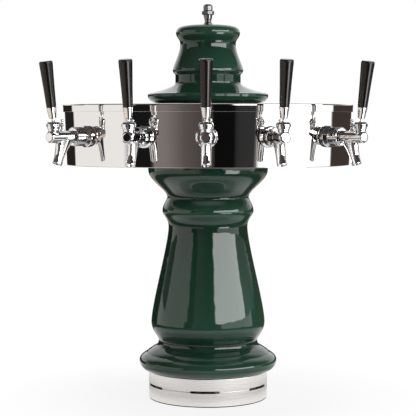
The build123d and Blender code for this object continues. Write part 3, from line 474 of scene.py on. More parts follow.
def bezier(a, b, c, d, steps=18):
    """Points along a cubic curve, without its last one."""
    a, b, c, d = (Vector(p) for p in (a, b, c, d))
    ts = [step / steps for step in range(steps)]
    return [a * (1 - t) ** 3 + b * 3 * t * (1 - t) ** 2 + c * 3 * t * t * (1 - t) + d * t**3 for t in ts]


def swell(low, high, low_pull=0.5, high_pull=0.5, steps=18):
    """One stretch of a thrown or turned outline, upright at both ends."""
    rise = high[1] - low[1]
    return bezier(low, (low[0], low[1] + low_pull * rise), (high[0], high[1] - high_pull * rise), high, steps)


# %% [markdown]
# ## The lathe
# One Geometry Nodes tree turns an outline round the Z axis: the outline is the profile and a tiny circle
# is the rail of Curve to Mesh. Merge by Distance closes the pole where an outline touches the axis. What
# comes out is baked to a plain mesh. The lathe always works round Z; a piece that lies along a shank is
# turned here first and laid over afterwards.

# %% The lathe
RAIL = 1.0  # radius of the rail in mm, taken off every outline
POLE_GAP = 0.000004  # points closer than this are one, in metres


def curve_of(name, points):
    """A closed curve of straight runs through points."""
    data = bpy.data.curves.new(name, "CURVE")
    data.dimensions = "3D"
    spline = data.splines.new("POLY")
    spline.points.add(len(points) - 1)
    for target, point in zip(spline.points, points):
        target.co = (*point, 1.0)
    spline.use_cyclic_u = True
    return linked(name, data)


def new_tree(name, **sockets):
    """An empty shape tree, the sockets of its named inputs, and its output with one geometry."""
    tree = bpy.data.node_groups.new(name, "GeometryNodeTree")
    for label, kind in sockets.items():
        tree.interface.new_socket(label.replace("_", " "), in_out="INPUT", socket_type="NodeSocket" + kind)
    tree.interface.new_socket("Geometry", in_out="OUTPUT", socket_type="NodeSocketGeometry")
    return tree, add(tree, "NodeGroupInput").outputs, add(tree, "NodeGroupOutput")


def close_tree(tree, shape, finish_socket, out):
    """Ends a tree: instances become real and take the finish."""
    real = add(tree, "GeometryNodeRealizeInstances", {"Geometry": shape}).outputs[0]
    dressed = add(tree, "GeometryNodeSetMaterial", {"Geometry": real, "Material": finish_socket}).outputs[0]
    tree.links.new(dressed, out.inputs["Geometry"])


def shape_of(tree, holder):
    """The shape of an object that a tree is given."""
    return add(tree, "GeometryNodeObjectInfo", {"Object": holder}).outputs["Geometry"]


lathe, given, out = new_tree(
    "Turn an outline", Outline="Object", Sides="Int", Rail_Radius="Float", Smooth="Bool", Finish="Material"
)
rail = {"Resolution": given["Sides"], "Radius": given["Rail Radius"]}
rail = add(lathe, "GeometryNodeCurvePrimitiveCircle", rail).outputs["Curve"]
rail = add(lathe, "GeometryNodeSetCurveNormal", {"Curve": rail}, mode="Z_UP").outputs["Curve"]
swept = {"Curve": rail, "Profile Curve": shape_of(lathe, given["Outline"])}
swept = add(lathe, "GeometryNodeCurveToMesh", swept).outputs["Mesh"]
swept = {"Geometry": swept, "Distance": POLE_GAP}
swept = add(lathe, "GeometryNodeMergeByDistance", swept).outputs["Geometry"]
swept = {"Geometry": swept, "Shade Smooth": given["Smooth"]}
swept = add(lathe, "GeometryNodeSetShadeSmooth", swept).outputs["Geometry"]
close_tree(lathe, swept, given["Finish"], out)
print("lathe tree of", len(lathe.nodes), "nodes")


# %% [markdown]
# ## From tree to piece
# A tree runs as a modifier on a bare holder. Its result is baked to a plain mesh before anything else is done
# with it, because only a plain mesh can ride on a body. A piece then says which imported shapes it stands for.


# %% From tree to piece
def identifier(tree, label):
    """The identifier of a tree's input, by which a modifier knows it."""
    return next(s.identifier for s in tree.interface.items_tree if s.name == label and s.in_out == "INPUT")


def baked(holder, name):
    """The plain mesh that an object's modifiers make, with its faces pointing outwards."""
    bpy.context.view_layer.update()
    ready = holder.evaluated_get(bpy.context.evaluated_depsgraph_get())
    mesh = bpy.data.meshes.new_from_object(ready)
    mesh.name = name
    shape = bmesh.new()
    shape.from_mesh(mesh)
    if shape.calc_volume(signed=True) < 0:
        bmesh.ops.reverse_faces(shape, faces=shape.faces)
    shape.to_mesh(mesh)
    shape.free()
    return mesh


def grown(tree, name, base=None, **values):
    """The plain mesh that a tree makes; the objects that it was given are removed."""
    holder = linked("holder", base or bpy.data.meshes.new("holder"))
    modifier = holder.modifiers.new("tree", "NODES")
    modifier.node_group = tree
    for label, value in values.items():
        modifier[identifier(tree, label.replace("_", " "))] = value
    mesh = baked(holder, name)
    for used in [holder, *(value for value in values.values() if isinstance(value, bpy.types.Object))]:
        bpy.data.objects.remove(used)
    return mesh


def turned(name, outline_points, material, sides=64, smooth=True):
    """Turns an outline of (radius, height) points in mm round Z."""
    points = [((r - RAIL) * MM, -z * MM, 0) for r, z in map(Vector, outline_points)]
    profile = curve_of("outline", points)
    sizes = {"Sides": sides, "Rail_Radius": RAIL * MM}
    return grown(lathe, name, Outline=profile, Smooth=smooth, Finish=material, **sizes)


def piece(name, mesh, body, *nodes, slot):
    """Puts a finished mesh in the scene: it rides on a body and stands for CAD nodes."""
    made = linked(name, mesh)
    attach(made, body)
    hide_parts(*nodes)
    size = [round(v / MM, 1) for v in made.dimensions]
    print(name, size, "mm,", len(mesh.polygons), "faces")
    return made


# %% [markdown]
# ## The column
# Thrown on a wheel: a wide foot, a groove, a belly that narrows to the neck, one bead and a flare that
# meets the head. Each turn of the outline is a radius at a height, and the swells between them leave and
# arrive upright, as a potter's curve does. The wall is eight millimetres thick and open at both ends.

# %% The column
WALL = 8
foot, groove, belly, neck = (145, 79), (104, 122), (119.5, 160), (83, 361)
bead, collar, flare = (95.8, 395), (85.5, 423), (126, 489)


def within(point):
    """The point of the inside next to a turn of the outline."""
    return point[0] - WALL, point[1]


outside = bezier((128, 60), (136.5, 60), (145, 69.5), foot)
outside += swell(foot, groove, 0.45, 0.6) + swell(groove, belly, 0.16, 0.48)
outside += swell(belly, neck, 0.18, 0.18, 30) + swell(neck, bead, 0.54, 0.3)
outside += swell(bead, collar, 0.38, 0.14) + swell(collar, (125.5, 480), 0.28, 0.4)
outside += [(125.5, 480), (125.9, 485)]
rim = eased([(*flare, 0), (125.9, 489, 0.9), (118.1, 489, 0.9), (*within(flare), 0)], closed=False)[1:-1]
inside = swell(within(flare), within(collar), 0.54, 0.26, 8)
inside += swell(within(collar), within(neck), 0.4, 0.4, 8)
inside += swell(within(neck), within(belly), 0.18, 0.18, 12)
inside += swell(within(belly), within(groove), 0.38, 0.3, 6)
inside += swell(within(groove), within(foot), 0.3, 0.62, 6)
inside += swell(within(foot), (112, 60), 0.4, 0.2, 6)
column_outline = outside + [(126, 488.4)] + rim + inside + [(112, 60)]
bands_of_column = ["column_foot", "column_belly", "column_neck", "column_bead", "column_flare"]
piece("column", turned("column", column_outline, glaze, 256), "tower", *bands_of_column, slot="glaze")

# %% [markdown]
# ## The cap
# Thrown like the column: a brim that curls up to its edge, a hollow shoulder, a ring, a waist and a bulge
# that closes almost flat. A hole in the top passes the stud that the finial screws on.

# %% The cap
cap_outline = bezier((100, 618.5), (118, 618.5), (126, 627.5), (126, 635.5))
cap_outline += bezier((126, 635.5), (126, 637.8), (125.3, 639), (124, 639), 8)
cap_outline += bezier((124, 639), (108, 642.5), (68.3, 653.5), (68.3, 661.5), 22)
cap_outline += bezier((68.3, 661.5), (68.3, 667), (68.3, 671.5), (68.3, 677), 6)
cap_outline += swell((68.3, 677), (73.5, 686.5)) + swell((73.5, 686.5), (58, 742.5), 0.2, 0.35)
cap_outline += swell((58, 742.5), (66.8, 765.5), 0.45, 0.45)
cap_outline += bezier((66.8, 765.5), (66.8, 782), (45, 782), (5.9, 782), 26)
cap_outline += [(5.9, 782), (5.3, 781.4), (5.3, 774), (45, 774), (45, 742.5)]
cap_outline += [(60.3, 661.5), (92, 635.5), (92, 619), (92.5, 618.5), (99.5, 618.5)]
piece("cap", turned("cap", cap_outline, glaze, 224), "tower", "cap_shell", slot="glaze")

# %% [markdown]
# ## The finial
# A small knob of chrome, darkened with painted shade: a round foot and neck, a cone, an eight-sided belt and a
# tip with a domed end.
# The belt and tip are cut with flats, so they are turned with eight sides and shaded flat, and their edges
# are broken.

# %% The finial
stem = eased([
    (5.05, 783.2, 0), (9, 783.2, 0.3), (9, 785.2, 0.6), (7, 787.2, 0.8), (7, 791.2, 0.8), (9.5, 803.2, 0.3),
    (5.05, 803.2, 0),
])
# Both parts of the finial take the chrome darkened as painted shade.
piece_stem = turned("finial stem", stem, shaded_chrome, 48)
belt = [(5.05, 803.2), (11.9, 803.2), (12.7, 804.2), (12.7, 810.2), (11.9, 811.2), (9.5, 812.2), (9.5, 821.2),
        (8.4, 823.6), (5.5, 825.2), (0.0, 825.2), (0.0, 803.8), (5.05, 803.8)]
piece_belt = turned("finial belt", belt, shaded_chrome, 8, smooth=False)


def joined(name, meshes):
    """One mesh from several."""
    shape = bmesh.new()
    for mesh in meshes:
        shape.from_mesh(mesh)
    return mesh_of(name, shape, meshes[0].materials[0])


piece("finial_knob", joined("finial knob", [piece_stem, piece_belt]), "tower", "finial", slot="chrome")

# %% [markdown]
# ## The base
# Two thin steel rings meet at a bevelled seam. Six long slots for air straddle the seam, sixty degrees
# apart, one of them almost straight ahead. A tree copies one slot-shaped cutter round the ring and takes all
# six away in one Boolean.

# %% The base
SLOT_COUNT, SLOT_LENGTH, SLOT_HEIGHT, SEAM_Z, RING_RADIUS = 6, 61, 5, 31, 125
CUT_FROM, CUT_TO = -19, 6  # how far the cutter reaches each side of the ring's outside
FIRST_SLOT = -92.3  # bearing of the front slot from +X, in degrees


def copied(tree, points, shape, turn):
    """Real copies of a shape on points, each turned round Z."""
    spin = add(tree, "ShaderNodeCombineXYZ", {"Z": turn}).outputs[0]
    inputs = {"Points": points, "Instance": shape, "Rotation": spin}
    copies = add(tree, "GeometryNodeInstanceOnPoints", inputs).outputs["Instances"]
    return add(tree, "GeometryNodeRealizeInstances", {"Geometry": copies}).outputs[0]


def copied_round(tree, given, shape):
    """Copies of a shape on a circle, each facing outwards."""
    circle = {"Vertices": given["Count"], "Radius": given["Radius"]}
    points = add(tree, "GeometryNodeMeshCircle", circle).outputs["Mesh"]
    index = add(tree, "GeometryNodeInputIndex").outputs[0]
    turn = math(tree, "MULTIPLY", math(tree, "DIVIDE", index, given["Count"]), 2 * pi)
    return copied(tree, points, shape, turn)


def less(tree, shape, cutters):
    """A shape with the cutters taken out of it."""
    meshes = {"Mesh 1": shape, "Mesh 2": cutters}
    cut = add(tree, "GeometryNodeMeshBoolean", meshes, operation="DIFFERENCE", solver="EXACT")
    return cut.outputs["Mesh"]


slotted, given, out = new_tree(
    "Slots round a ring", Ring="Object", Cutter="Object", Count="Int", Radius="Float", Finish="Material"
)
slots = copied_round(slotted, given, shape_of(slotted, given["Cutter"]))
close_tree(slotted, less(slotted, shape_of(slotted, given["Ring"]), slots), given["Finish"], out)


# %% [markdown]
# ### Slots and rings
# The cutter is a bar with round ends, a skin over two loops of points, and passes right through the wall.
# Faces meet sharply at a slot's edge, so the rings are shaded smooth everywhere but at such edges.


# %% Slots and rings
def skin(name, loops, *finishes, ring=False):
    """Faces from each loop of points to the next; the ends are capped, or joined to each other as a ring."""
    shape = bmesh.new()
    rows = [[shape.verts.new(p) for p in loop] for loop in loops]
    for first, second in zip(rows, rows[1:] + (rows[:1] if ring else [])):
        for i in range(len(first)):
            j = (i + 1) % len(first)
            shape.faces.new((first[i], first[j], second[j], second[i]))
    if not ring:
        shape.faces.new(rows[0])
        shape.faces.new(rows[-1])
    bmesh.ops.recalc_face_normals(shape, faces=shape.faces)
    if shape.calc_volume(signed=True) < 0:
        bmesh.ops.reverse_faces(shape, faces=shape.faces)
    return mesh_of(name, shape, *finishes)


def slot_cutter():
    """A round-ended bar along Y at the seam's height, deep enough to pass the wall."""
    end = SLOT_HEIGHT / 2
    half = SLOT_LENGTH / 2 - end
    loop = [(half + end * cos(t), end * sin(t)) for t in [radians(-90 + 15 * i) for i in range(13)]]
    loop += [(-half + end * cos(t), end * sin(t)) for t in [radians(90 + 15 * i) for i in range(13)]]
    sides = [[(d * MM, y * MM, (z + SEAM_Z) * MM) for y, z in loop] for d in (CUT_FROM, CUT_TO)]
    return skin("slot cutter", sides)


def crisp(mesh, angle=40):
    """Shades a mesh smooth, but keeps the edges that are sharper than an angle in degrees."""
    mesh.shade_smooth()
    mesh.set_sharp_from_angle(angle=radians(angle))
    return mesh


def slot_ring(name, outline_points):
    """A turned ring of brushed steel with the slots cut out; the first slot is close to straight ahead."""
    ring = linked("ring", turned("ring", outline_points, brushed, 288))
    cutter = linked("cutter", slot_cutter())
    sizes = {"Count": SLOT_COUNT, "Radius": RING_RADIUS * MM}
    mesh = grown(slotted, name, Ring=ring, Cutter=cutter, Finish=brushed, **sizes)
    mesh.transform(Matrix.Rotation(radians(FIRST_SLOT), 4, "Z"))
    return crisp(mesh)


lower = eased([(122, 2, 0), (125, 2, 0.5), (125, 30.2, 0.3), (124.2, 31, 0.3), (122, 31, 0)])
upper = eased([
    (122, 31, 0), (124.2, 31, 0.3), (125, 31.8, 0.3), (125, 58, 0.9), (107, 58, 0.5), (107, 55, 0),
    (122, 55, 0),
])
piece("base_lower_ring", slot_ring("base lower ring", lower), "tower", "base_ring", slot="brushed_steel")
piece("base_upper_ring", slot_ring("base upper ring", upper), "tower", "base_sleeve", slot="brushed_steel")

# %% [markdown]
# ## The head
# Bent and pressed from sheet. Its plan is an oval of four arcs, two wide and two tight, so it can't be
# turned. Instead loops of points are skinned: each loop is the oval grown or shrunk by a given amount at
# a given height. The pan leans in a little towards the bottom, and the lid's lip hangs over the pan's edge,
# which is the thin line that runs round the head near its top.

# %% Loops of the oval
FRONT_R, END_R, HALF_WIDTH = 430, 200, 300
HEAD_Z, HEAD_TOP, TAPER = 491, 617, 5
end_x = HALF_WIDTH - END_R
centre_y = sqrt((FRONT_R - END_R) ** 2 - end_x**2)
join = atan2(end_x, centre_y)
FRONT_STEPS, END_STEPS = 60, 100


def plan_points():
    """Points of the oval with their outward directions, counter-clockwise from the front left join."""
    made = []
    arcs = [
        ((0, centre_y), FRONT_R, -join, join, FRONT_STEPS),
        ((end_x, 0), END_R, join, pi - join, END_STEPS),
        ((0, -centre_y), FRONT_R, pi - join, pi + join, FRONT_STEPS),
        ((-end_x, 0), END_R, pi + join, 2 * pi - join, END_STEPS),
    ]
    for (cx, cy), radius, start, end, steps in arcs:
        for step in range(steps):
            a = start + (end - start) * step / steps
            out_x, out_y = sin(a), -cos(a)
            made.append(((cx + radius * out_x, cy + radius * out_y), (out_x, out_y)))
    return made


PLAN = plan_points()
print("oval of", len(PLAN), "points")


def oval_loop(grow, z):
    return [((x + nx * grow) * MM, (y + ny * grow) * MM, z * MM) for (x, y), (nx, ny) in PLAN]


def round_loop(radius, z):
    """A circle with as many points as the oval, each on the same bearing."""
    made = []
    for (x, y), _ in PLAN:
        a = atan2(y, x)
        made.append((radius * cos(a) * MM, radius * sin(a) * MM, z * MM))
    return made


def plate_loops(section, corner, rings):
    """Ovals along a section up to a corner, then the rings of the flat plate, then the other ovals."""
    split = section.index(Vector(corner)) + 1
    made = [oval_loop(*p) for p in section[:split]] + [round_loop(*ring) for ring in rings]
    return made + [oval_loop(*p) for p in section[split:]]


def taper_at(z):
    return TAPER * (HEAD_TOP - z) / (HEAD_TOP - HEAD_Z)


# %% [markdown]
# ### Stations
# Each faucet stands square to the wall at its own bearing. So a station is a frame with X out of the wall and
# Z up, and whatever belongs to a faucet is made once in that frame.

# %% Stations: where the faucets stand on the wall
BEARINGS = (-45.0, -16.6, 0.0, 16.6, 45.0)
SHANK_Z = 551.5


def station(bearing_deg, z=SHANK_Z):
    """The frame of a place on the wall: X points out of it, Z up."""
    a = radians(bearing_deg)
    side = abs((bearing_deg + 90) % 180 - 90) > degrees(join)
    radius = (END_R if side else FRONT_R) - taper_at(z)
    cx = (end_x if sin(a) > 0 else -end_x) if side else 0
    cy = 0 if side else (centre_y if cos(a) > 0 else -centre_y)
    place = Matrix.Translation(Vector((cx + radius * sin(a), cy - radius * cos(a), z)) * MM)
    return place @ Matrix.Rotation(a - pi / 2, 4, "Z")


STATIONS = [station(b) for b in BEARINGS]
print(len(STATIONS), "stations", SHANK_Z, "mm up")

# %% [markdown]
# ### The pan
# A sloping wall and a floor in one piece of sheet, with the bend at the bottom drawn to a small radius.
# A tree puts one round cutter at each faucet's station and takes the five holes away; the shanks' flanges
# cover their edges.

# %% The pan
WALL_THICK, PAN_FLOOR, PAN_TOP, BEND = 1.5, 493, 615, 0.9
FLAT_EDGE, FLAT_RING, PIPE_HOLE = -26, 66, 35  # where the floor is flat, and its hole
SHANK_HOLE = 11.1

pan_section = eased([
    (-TAPER, HEAD_Z, BEND), (-taper_at(PAN_TOP), PAN_TOP, 0.4),
    (-taper_at(PAN_TOP) - WALL_THICK, PAN_TOP, 0.4), (-TAPER - WALL_THICK, PAN_FLOOR, 1.0),
    (FLAT_EDGE, PAN_FLOOR, 0), (FLAT_EDGE, HEAD_Z, 0),
], steps=6)
rings = [(FLAT_RING, PAN_FLOOR), (PIPE_HOLE, PAN_FLOOR), (PIPE_HOLE, HEAD_Z), (FLAT_RING, HEAD_Z)]
pan_loops = plate_loops(pan_section, (FLAT_EDGE, PAN_FLOOR), rings)


def copied_at(tree, given, shape):
    """Copies of a shape at stations, each turned to its heading."""
    heading = add(tree, "GeometryNodeInputNamedAttribute", {"Name": "heading"}, data_type="FLOAT")
    return copied(tree, given["Stations"], shape, heading.outputs["Attribute"])


drilled, given, out = new_tree(
    "Holes at stations", Stations="Geometry", Sheet="Object", Cutter="Object", Finish="Material"
)
borers = copied_at(drilled, given, shape_of(drilled, given["Cutter"]))
close_tree(drilled, less(drilled, shape_of(drilled, given["Sheet"]), borers), given["Finish"], out)


def station_points(places):
    """A mesh of bare points, each with its heading round Z."""
    mesh = bpy.data.meshes.new("stations")
    mesh.from_pydata([p.translation for p in places], [], [])
    headings = mesh.attributes.new("heading", "FLOAT", "POINT")
    for heading, place in zip(headings.data, places):
        heading.value = place.to_euler().z
    return mesh


LAY_OUT = Matrix.Rotation(pi / 2, 4, "Y")  # lays what was turned round Z along a station's X

hole = turned("hole", [(0, -30), (SHANK_HOLE, -30), (SHANK_HOLE, 30), (0, 30)], mirror, 32)
hole.transform(LAY_OUT)
sheet_metal = linked("pan sheet", skin("pan sheet", pan_loops, mirror, ring=True))
borer = linked("borer", hole)
hole_places = station_points(STATIONS)
pan_mesh = grown(drilled, "head pan", hole_places, Sheet=sheet_metal, Cutter=borer, Finish=mirror)
piece("head_pan_sheet", crisp(pan_mesh), "tower", "head_pan", slot="polished_steel")

# %% [markdown]
# ### The lid
# A flat plate with a lip that hangs about a millimetre outside the pan and leans in with it. The folded edge
# at the top is well rounded by the polishing wheel.

# %% The lid
LIP_Z, LIP_OUT, LIP_IN, LID_BEND, LIP_LEAN = 601, 3.0, 1.0, 3.6, 0.65
LID_FLAT_EDGE, LID_RING, STUD_HOLE = -30, 90, 5.3

lid_section = eased([
    (LIP_IN, LIP_Z, 0.3), (LIP_OUT - LIP_LEAN, LIP_Z, 0.4), (LIP_OUT, HEAD_TOP, LID_BEND),
    (LID_FLAT_EDGE, HEAD_TOP, 0), (LID_FLAT_EDGE, PAN_TOP, 0), (LIP_IN, PAN_TOP, 0.4),
], steps=6)
rings = [(LID_RING, HEAD_TOP), (STUD_HOLE, HEAD_TOP), (STUD_HOLE, PAN_TOP), (LID_RING, PAN_TOP)]
lid_loops = plate_loops(lid_section, (LID_FLAT_EDGE, HEAD_TOP), rings)
lid_mesh = crisp(skin("head lid", lid_loops, mirror, ring=True), 50)
piece("head_lid_sheet", lid_mesh, "tower", "head_lid", slot="polished_steel")

# %% [markdown]
# ## Rows of the same piece
# Five faucets share one set of castings, so each piece is made once, in a station's own frame with X
# pointing out of the wall. A tree copies it to every station, and the copies become one mesh, because they
# stay with the tower. Levers, ferrules and handles are copied one by one later, because those of each faucet
# ride on that faucet's own body.

# %% The tree for a row
row_tree, given, out = new_tree("Row at stations", Stations="Geometry", Piece="Object", Finish="Material")
pieces = copied_at(row_tree, given, shape_of(row_tree, given["Piece"]))
close_tree(row_tree, pieces, given["Finish"], out)
print("row tree of", len(row_tree.nodes), "nodes")


def row(name, mesh, material, places=STATIONS):
    """Copies a piece, made in a station's frame, to every place, as one mesh."""
    return grown(row_tree, name, station_points(places), Piece=linked("pattern", mesh), Finish=material)


def laid(name, outline_points, material, sides=64):
    """A piece turned round a station's X; outline points are (radius, distance out of the wall)."""
    mesh = turned(name, outline_points, material, sides)
    mesh.transform(LAY_OUT)
    return mesh


def stood(name, outline_points, material, out_mm, up_mm, lean=0.0, sides=64):
    """A piece turned about an upright or leaning axis through a point of the station's frame."""
    mesh = turned(name, outline_points, material, sides)
    mesh.transform(Matrix.Translation((out_mm * MM, 0, up_mm * MM)) @ Matrix.Rotation(radians(lean), 4, "Y"))
    return mesh


def all_of(node):
    return [f"{node}_{n}" for n in range(1, 6)]


# %% [markdown]
# ### Shanks and coupling nuts
# The shank is a threaded tube with a domed flange that hides the hole in the wall. The coupling nut is
# a smooth round ring that runs on its thread, with one fine turned groove near its front edge.

# %% Shanks and coupling nuts
shank_outline = eased([
    (8, -22, 0), (8, 30, 0.3), (11, 30, 0.4), (11, 12, 0), (15, 12, 0.8), (21.75, 6, 1.2), (21.75, -2, 0.3),
    (11, -2, 0), (11, -36, 0.3), (4.75, -36, 0), (4.75, -50, 0.3), (3.15, -50, 0.2), (3.15, -22, 0),
])
shank_mesh = row("shanks", laid("shank", shank_outline, chrome), chrome)
piece("shank_row", shank_mesh, "tower", "shanks", slot="chrome")

coupling_outline = eased([
    (11.05, 14, 0), (17.5, 14, 0.6), (19, 15.5, 0.6), (19, 30.4, 0.25), (18.5, 30.8, 0.2), (18.5, 31.6, 0.2),
    (19, 32, 0.25), (19, 36.6, 0.6), (17.6, 38, 0.6), (12.1, 38, 0.3), (12.1, 35.1, 0), (14.7, 35.1, 0),
    (14.7, 30, 0), (11.05, 30, 0),
])
coupling_mesh = row("coupling nuts", laid("coupling nut", coupling_outline, chrome, 80), chrome)
piece("coupling_rings", coupling_mesh, "tower", "coupling_nuts", slot="chrome")

# %% [markdown]
# ### The faucet's casting
# Barrel, neck, boss and spout were cast in one piece and then polished, so they melt into each other. Each
# is first made as its own closed shape, the spout as a horn that narrows downwards: a skin over a column of
# ovals, because a lathe gives only round sections.

# %% The faucet's casting
SPOUT_LEAN, SPOUT_ROOT, HORN_SIDES = 19.65, 57.7, 48
SPOUT_AXIS = Matrix.Translation((SPOUT_ROOT * MM, 0, 0)) @ Matrix.Rotation(radians(-SPOUT_LEAN), 4, "Y")
LEVER_OUT, PIVOT_UP, BOSS_OUT = 85, 24, 64
HORN = [  # distance down the spout, half depth, half width
    (-6, 19.0, 9.6), (0, 20.0, 10.5), (6, 19.4, 10.6), (13, 17.2, 10.4), (21, 14.2, 10.2), (30, 11.9, 9.9),
    (40, 10.4, 9.6), (49, 9.8, 9.5), (55.5, 9.9, 9.7), (57.3, 9.7, 9.6),
]

around = [2 * pi * i / HORN_SIDES for i in range(HORN_SIDES)]
ovals = [[(depth * cos(a) * MM, width * sin(a) * MM, -z * MM) for a in around] for z, depth, width in HORN]
horn = skin("horn", ovals, chrome)
horn.transform(SPOUT_AXIS)
barrel = laid("barrel", solid([
    (0, 30, 0), (14.6, 30, 0.4), (14.6, 35, 0.4), (12, 35, 0), (12, 97, 5.0), (0, 97, 0),
], steps=8), chrome)
neck_part = stood("neck", solid([
    (0, 0, 0), (11, 0, 0), (11, 16, 0.5), (10, 16, 0), (10, 22, 0.5), (0, 22, 0),
]), chrome, LEVER_OUT, 0)
boss_part = stood("boss", solid([
    (0, 0, 0), (4.5, 0, 0), (4.5, 15, 0.8), (0, 15, 0),
]), chrome, BOSS_OUT, 0, sides=32)
casting_parts = [barrel, neck_part, boss_part, horn]
print("parts of the casting:", [part.name for part in casting_parts])

# %% [markdown]
# ### Melting and polishing
# The foundry pours one skin and the polishing wheel rounds its joints. A voxel remesh does the first: it
# fuses whatever overlaps. A few passes of smoothing do the second.


# %% Melting and polishing
def modify(holder, kind, **settings):
    """Adds a modifier with its settings."""
    modifier = holder.modifiers.new(kind, kind)
    for key, value in settings.items():
        setattr(modifier, key, value)


def fused(name, parts, voxel_mm, passes):
    """Parts melted into one skin of small faces, rounded where they meet."""
    holder = linked("casting", joined(name, parts))
    modify(holder, "REMESH", mode="VOXEL", voxel_size=voxel_mm * MM)
    modify(holder, "SMOOTH", factor=0.5, iterations=passes)
    mesh = baked(holder, name)
    bpy.data.objects.remove(holder)
    return mesh


casting = fused("casting", casting_parts, voxel_mm=0.8, passes=6)
print("the casting has melted to", len(casting.polygons), "faces")

# %% [markdown]
# ### Boring
# The bores come last, so that their edges stay crisp: the way in from the shank, the way out of the spout,
# the room of the lever and its ball, and the thumb screw's hole. Each cutter is turned like any other piece.


# %% Boring
def cut_out(name, mesh, cutters):
    """Takes closed shapes out of a mesh, one after another."""
    holder = linked(name, mesh)
    tools = [linked("tool", cutter) for cutter in cutters]
    for tool in tools:
        modify(holder, "BOOLEAN", operation="DIFFERENCE", solver="EXACT", object=tool)
    made = baked(holder, name)
    for used in [holder, *tools]:
        bpy.data.objects.remove(used)
    return crisp(made, 48)


def bore(points, place, sides=40):
    """A closed cutter turned from (radius, distance) points and moved to its place."""
    mesh = turned("bore", points, chrome, sides)
    mesh.transform(place)
    return mesh


def ball(radius, angles, centre=0.0):
    """A ball's outline at angles in degrees from its lowest point."""
    return [(radius * sin(radians(a)), centre - radius * cos(radians(a))) for a in angles]


over_lever = Matrix.Translation((LEVER_OUT * MM, 0, 0))
inlet = bore([
    (0, 29), (8.5, 29), (8.5, 40), (5.6, 40), (5.6, 42), (7, 42), (7, 64), (4.06, 64), (4.06, 76.1),
    (8.9, 76.1), (8.9, 94.3), (0, 94.3),
], LAY_OUT)
mouth = bore([
    (0, -70), (6.6, -70), (6.6, -57.3), (6, -56.6), (6, -29.3), (4.5, -28.3), (4.5, -6), (0, -6),
], SPOUT_AXIS)
seat = bore([
    (0, 0), (8.5, 0), (8.5, 11.4), (4.6, 22), (4.6, 30), (0, 30),
], over_lever)
ball_seat = bore(ball(7.3, range(0, 181, 15), PIVOT_UP), over_lever)
screw_hole = bore([(0, 7), (2.25, 7), (2.25, 20), (0, 20)], Matrix.Translation((BOSS_OUT * MM, 0, 0)), 24)

casting = cut_out("casting", casting, [inlet, mouth, seat, ball_seat, screw_hole])
casting_row = row("faucet castings", casting, chrome)
piece("faucet_castings", casting_row, "tower", *all_of("faucet_body"), slot="chrome")

# %% [markdown]
# ### Bonnets and thumb screws
# The bonnet screws on over the lever's ball. Its ring has notches for a hook spanner, which a tree cuts by
# copying one small block round it. The thumb screw is a little ball on a collared stem.

# %% Bonnets and thumb screws
notched, given, out = new_tree(
    "Notches round a ring", Ring="Object", Count="Int", Radius="Float", Width="Float", Depth="Float",
    Low="Float", Tall="Float", Finish="Material",
)
block = add(notched, "ShaderNodeCombineXYZ", {"X": given["Depth"], "Y": given["Width"], "Z": given["Tall"]})
block = add(notched, "GeometryNodeMeshCube", {"Size": block.outputs[0]}).outputs["Mesh"]
raised = add(notched, "ShaderNodeCombineXYZ", {"Z": given["Low"]}).outputs[0]
blocks = {"Geometry": copied_round(notched, given, block), "Translation": raised}
blocks = add(notched, "GeometryNodeTransform", blocks).outputs["Geometry"]
close_tree(notched, less(notched, shape_of(notched, given["Ring"]), blocks), given["Finish"], out)

bonnet_outline = eased([
    (10.05, 16, 0), (12.6, 16, 0.4), (12.6, 20, 0), (14.5, 20, 0.4), (14.5, 25, 0.5), (12.3, 29, 0.5),
    (11.5, 29, 0.3), (6.86, 26.5, 0), (7.3, 24, 0), (6.9, 22.1, 0), (10.05, 22.1, 0),
])
plain_bonnet = linked("bonnet", turned("bonnet", bonnet_outline, chrome, 72))
bonnet = grown(
    notched, "bonnet", Ring=plain_bonnet, Count=6, Radius=14.5 * MM, Width=3.2 * MM, Depth=2.0 * MM,
    Low=23.0 * MM, Tall=9.0 * MM, Finish=chrome,
)
bonnet.transform(over_lever)
piece("bonnet_rings", row("bonnets", crisp(bonnet), chrome), "tower", *all_of("bonnet"), slot="chrome")

screw_outline = eased([
    (0, 7, 0), (2.2, 7, 0.3), (2.2, 22, 0), (3.6, 22, 0.4), (3.6, 24.5, 0.4), (2.2, 24.5, 0), (2.2, 29.6, 0),
], closed=False) + ball(3.1, range(48, 181, 12), 32) + [(0, 7)]
screw = stood("thumb screw", screw_outline, chrome, BOSS_OUT, 0, sides=32)
piece("thumb_screw_row", row("thumb screws", screw, chrome), "tower", "thumb_screws", slot="chrome")

# %% [markdown]
# ### Levers, ferrules and handles
# The lever is a ball with a stem above it and a cranked arm below. At rest it leans out a little. The
# ferrule is a polished sleeve that widens upwards, and the handle screws down on it. The handle is a long
# taper with a rounded head, and a fine line at its foot shows where plastic meets metal.

# %% Levers, ferrules and handles
LEVER_LEAN, ARM_LEAN, ARM_LENGTH, STEM_RADIUS = 8.5, 14.0, 18.0, 3.2

lever_outline = [p for p in ball(7, range(0, 161, 10)) if p[0] > STEM_RADIUS or p[1] < 0]
lever_outline += eased([
    (STEM_RADIUS, 6.4, 0), (STEM_RADIUS, 12.5, 0), (STEM_RADIUS, 50, 0.6), (0, 50, 0),
], closed=False)
arm_outline = ball(2.5, range(0, 136, 15)) + [(1.8, 1.8), (1.8, 13), (0, 13)]
ferrule_outline = eased([
    (3.25, 12.5, 0), (7.0, 12.5, 0.5), (7.3, 13.6, 0.3), (9.9, 33.6, 0.4), (9.7, 34.4, 0.3), (3.25, 34.4, 0),
])
handle_outline = eased([
    (3.25, 34.4, 0), (9.5, 34.4, 0.4), (9.7, 36.5, 0), (10.9, 70, 0), (12.3, 100, 0), (13.4, 121.5, 1.2),
    (12.4, 124.6, 1.2), (0, 125.4, 0), (0, 52.4, 0), (3.25, 52.4, 0),
])

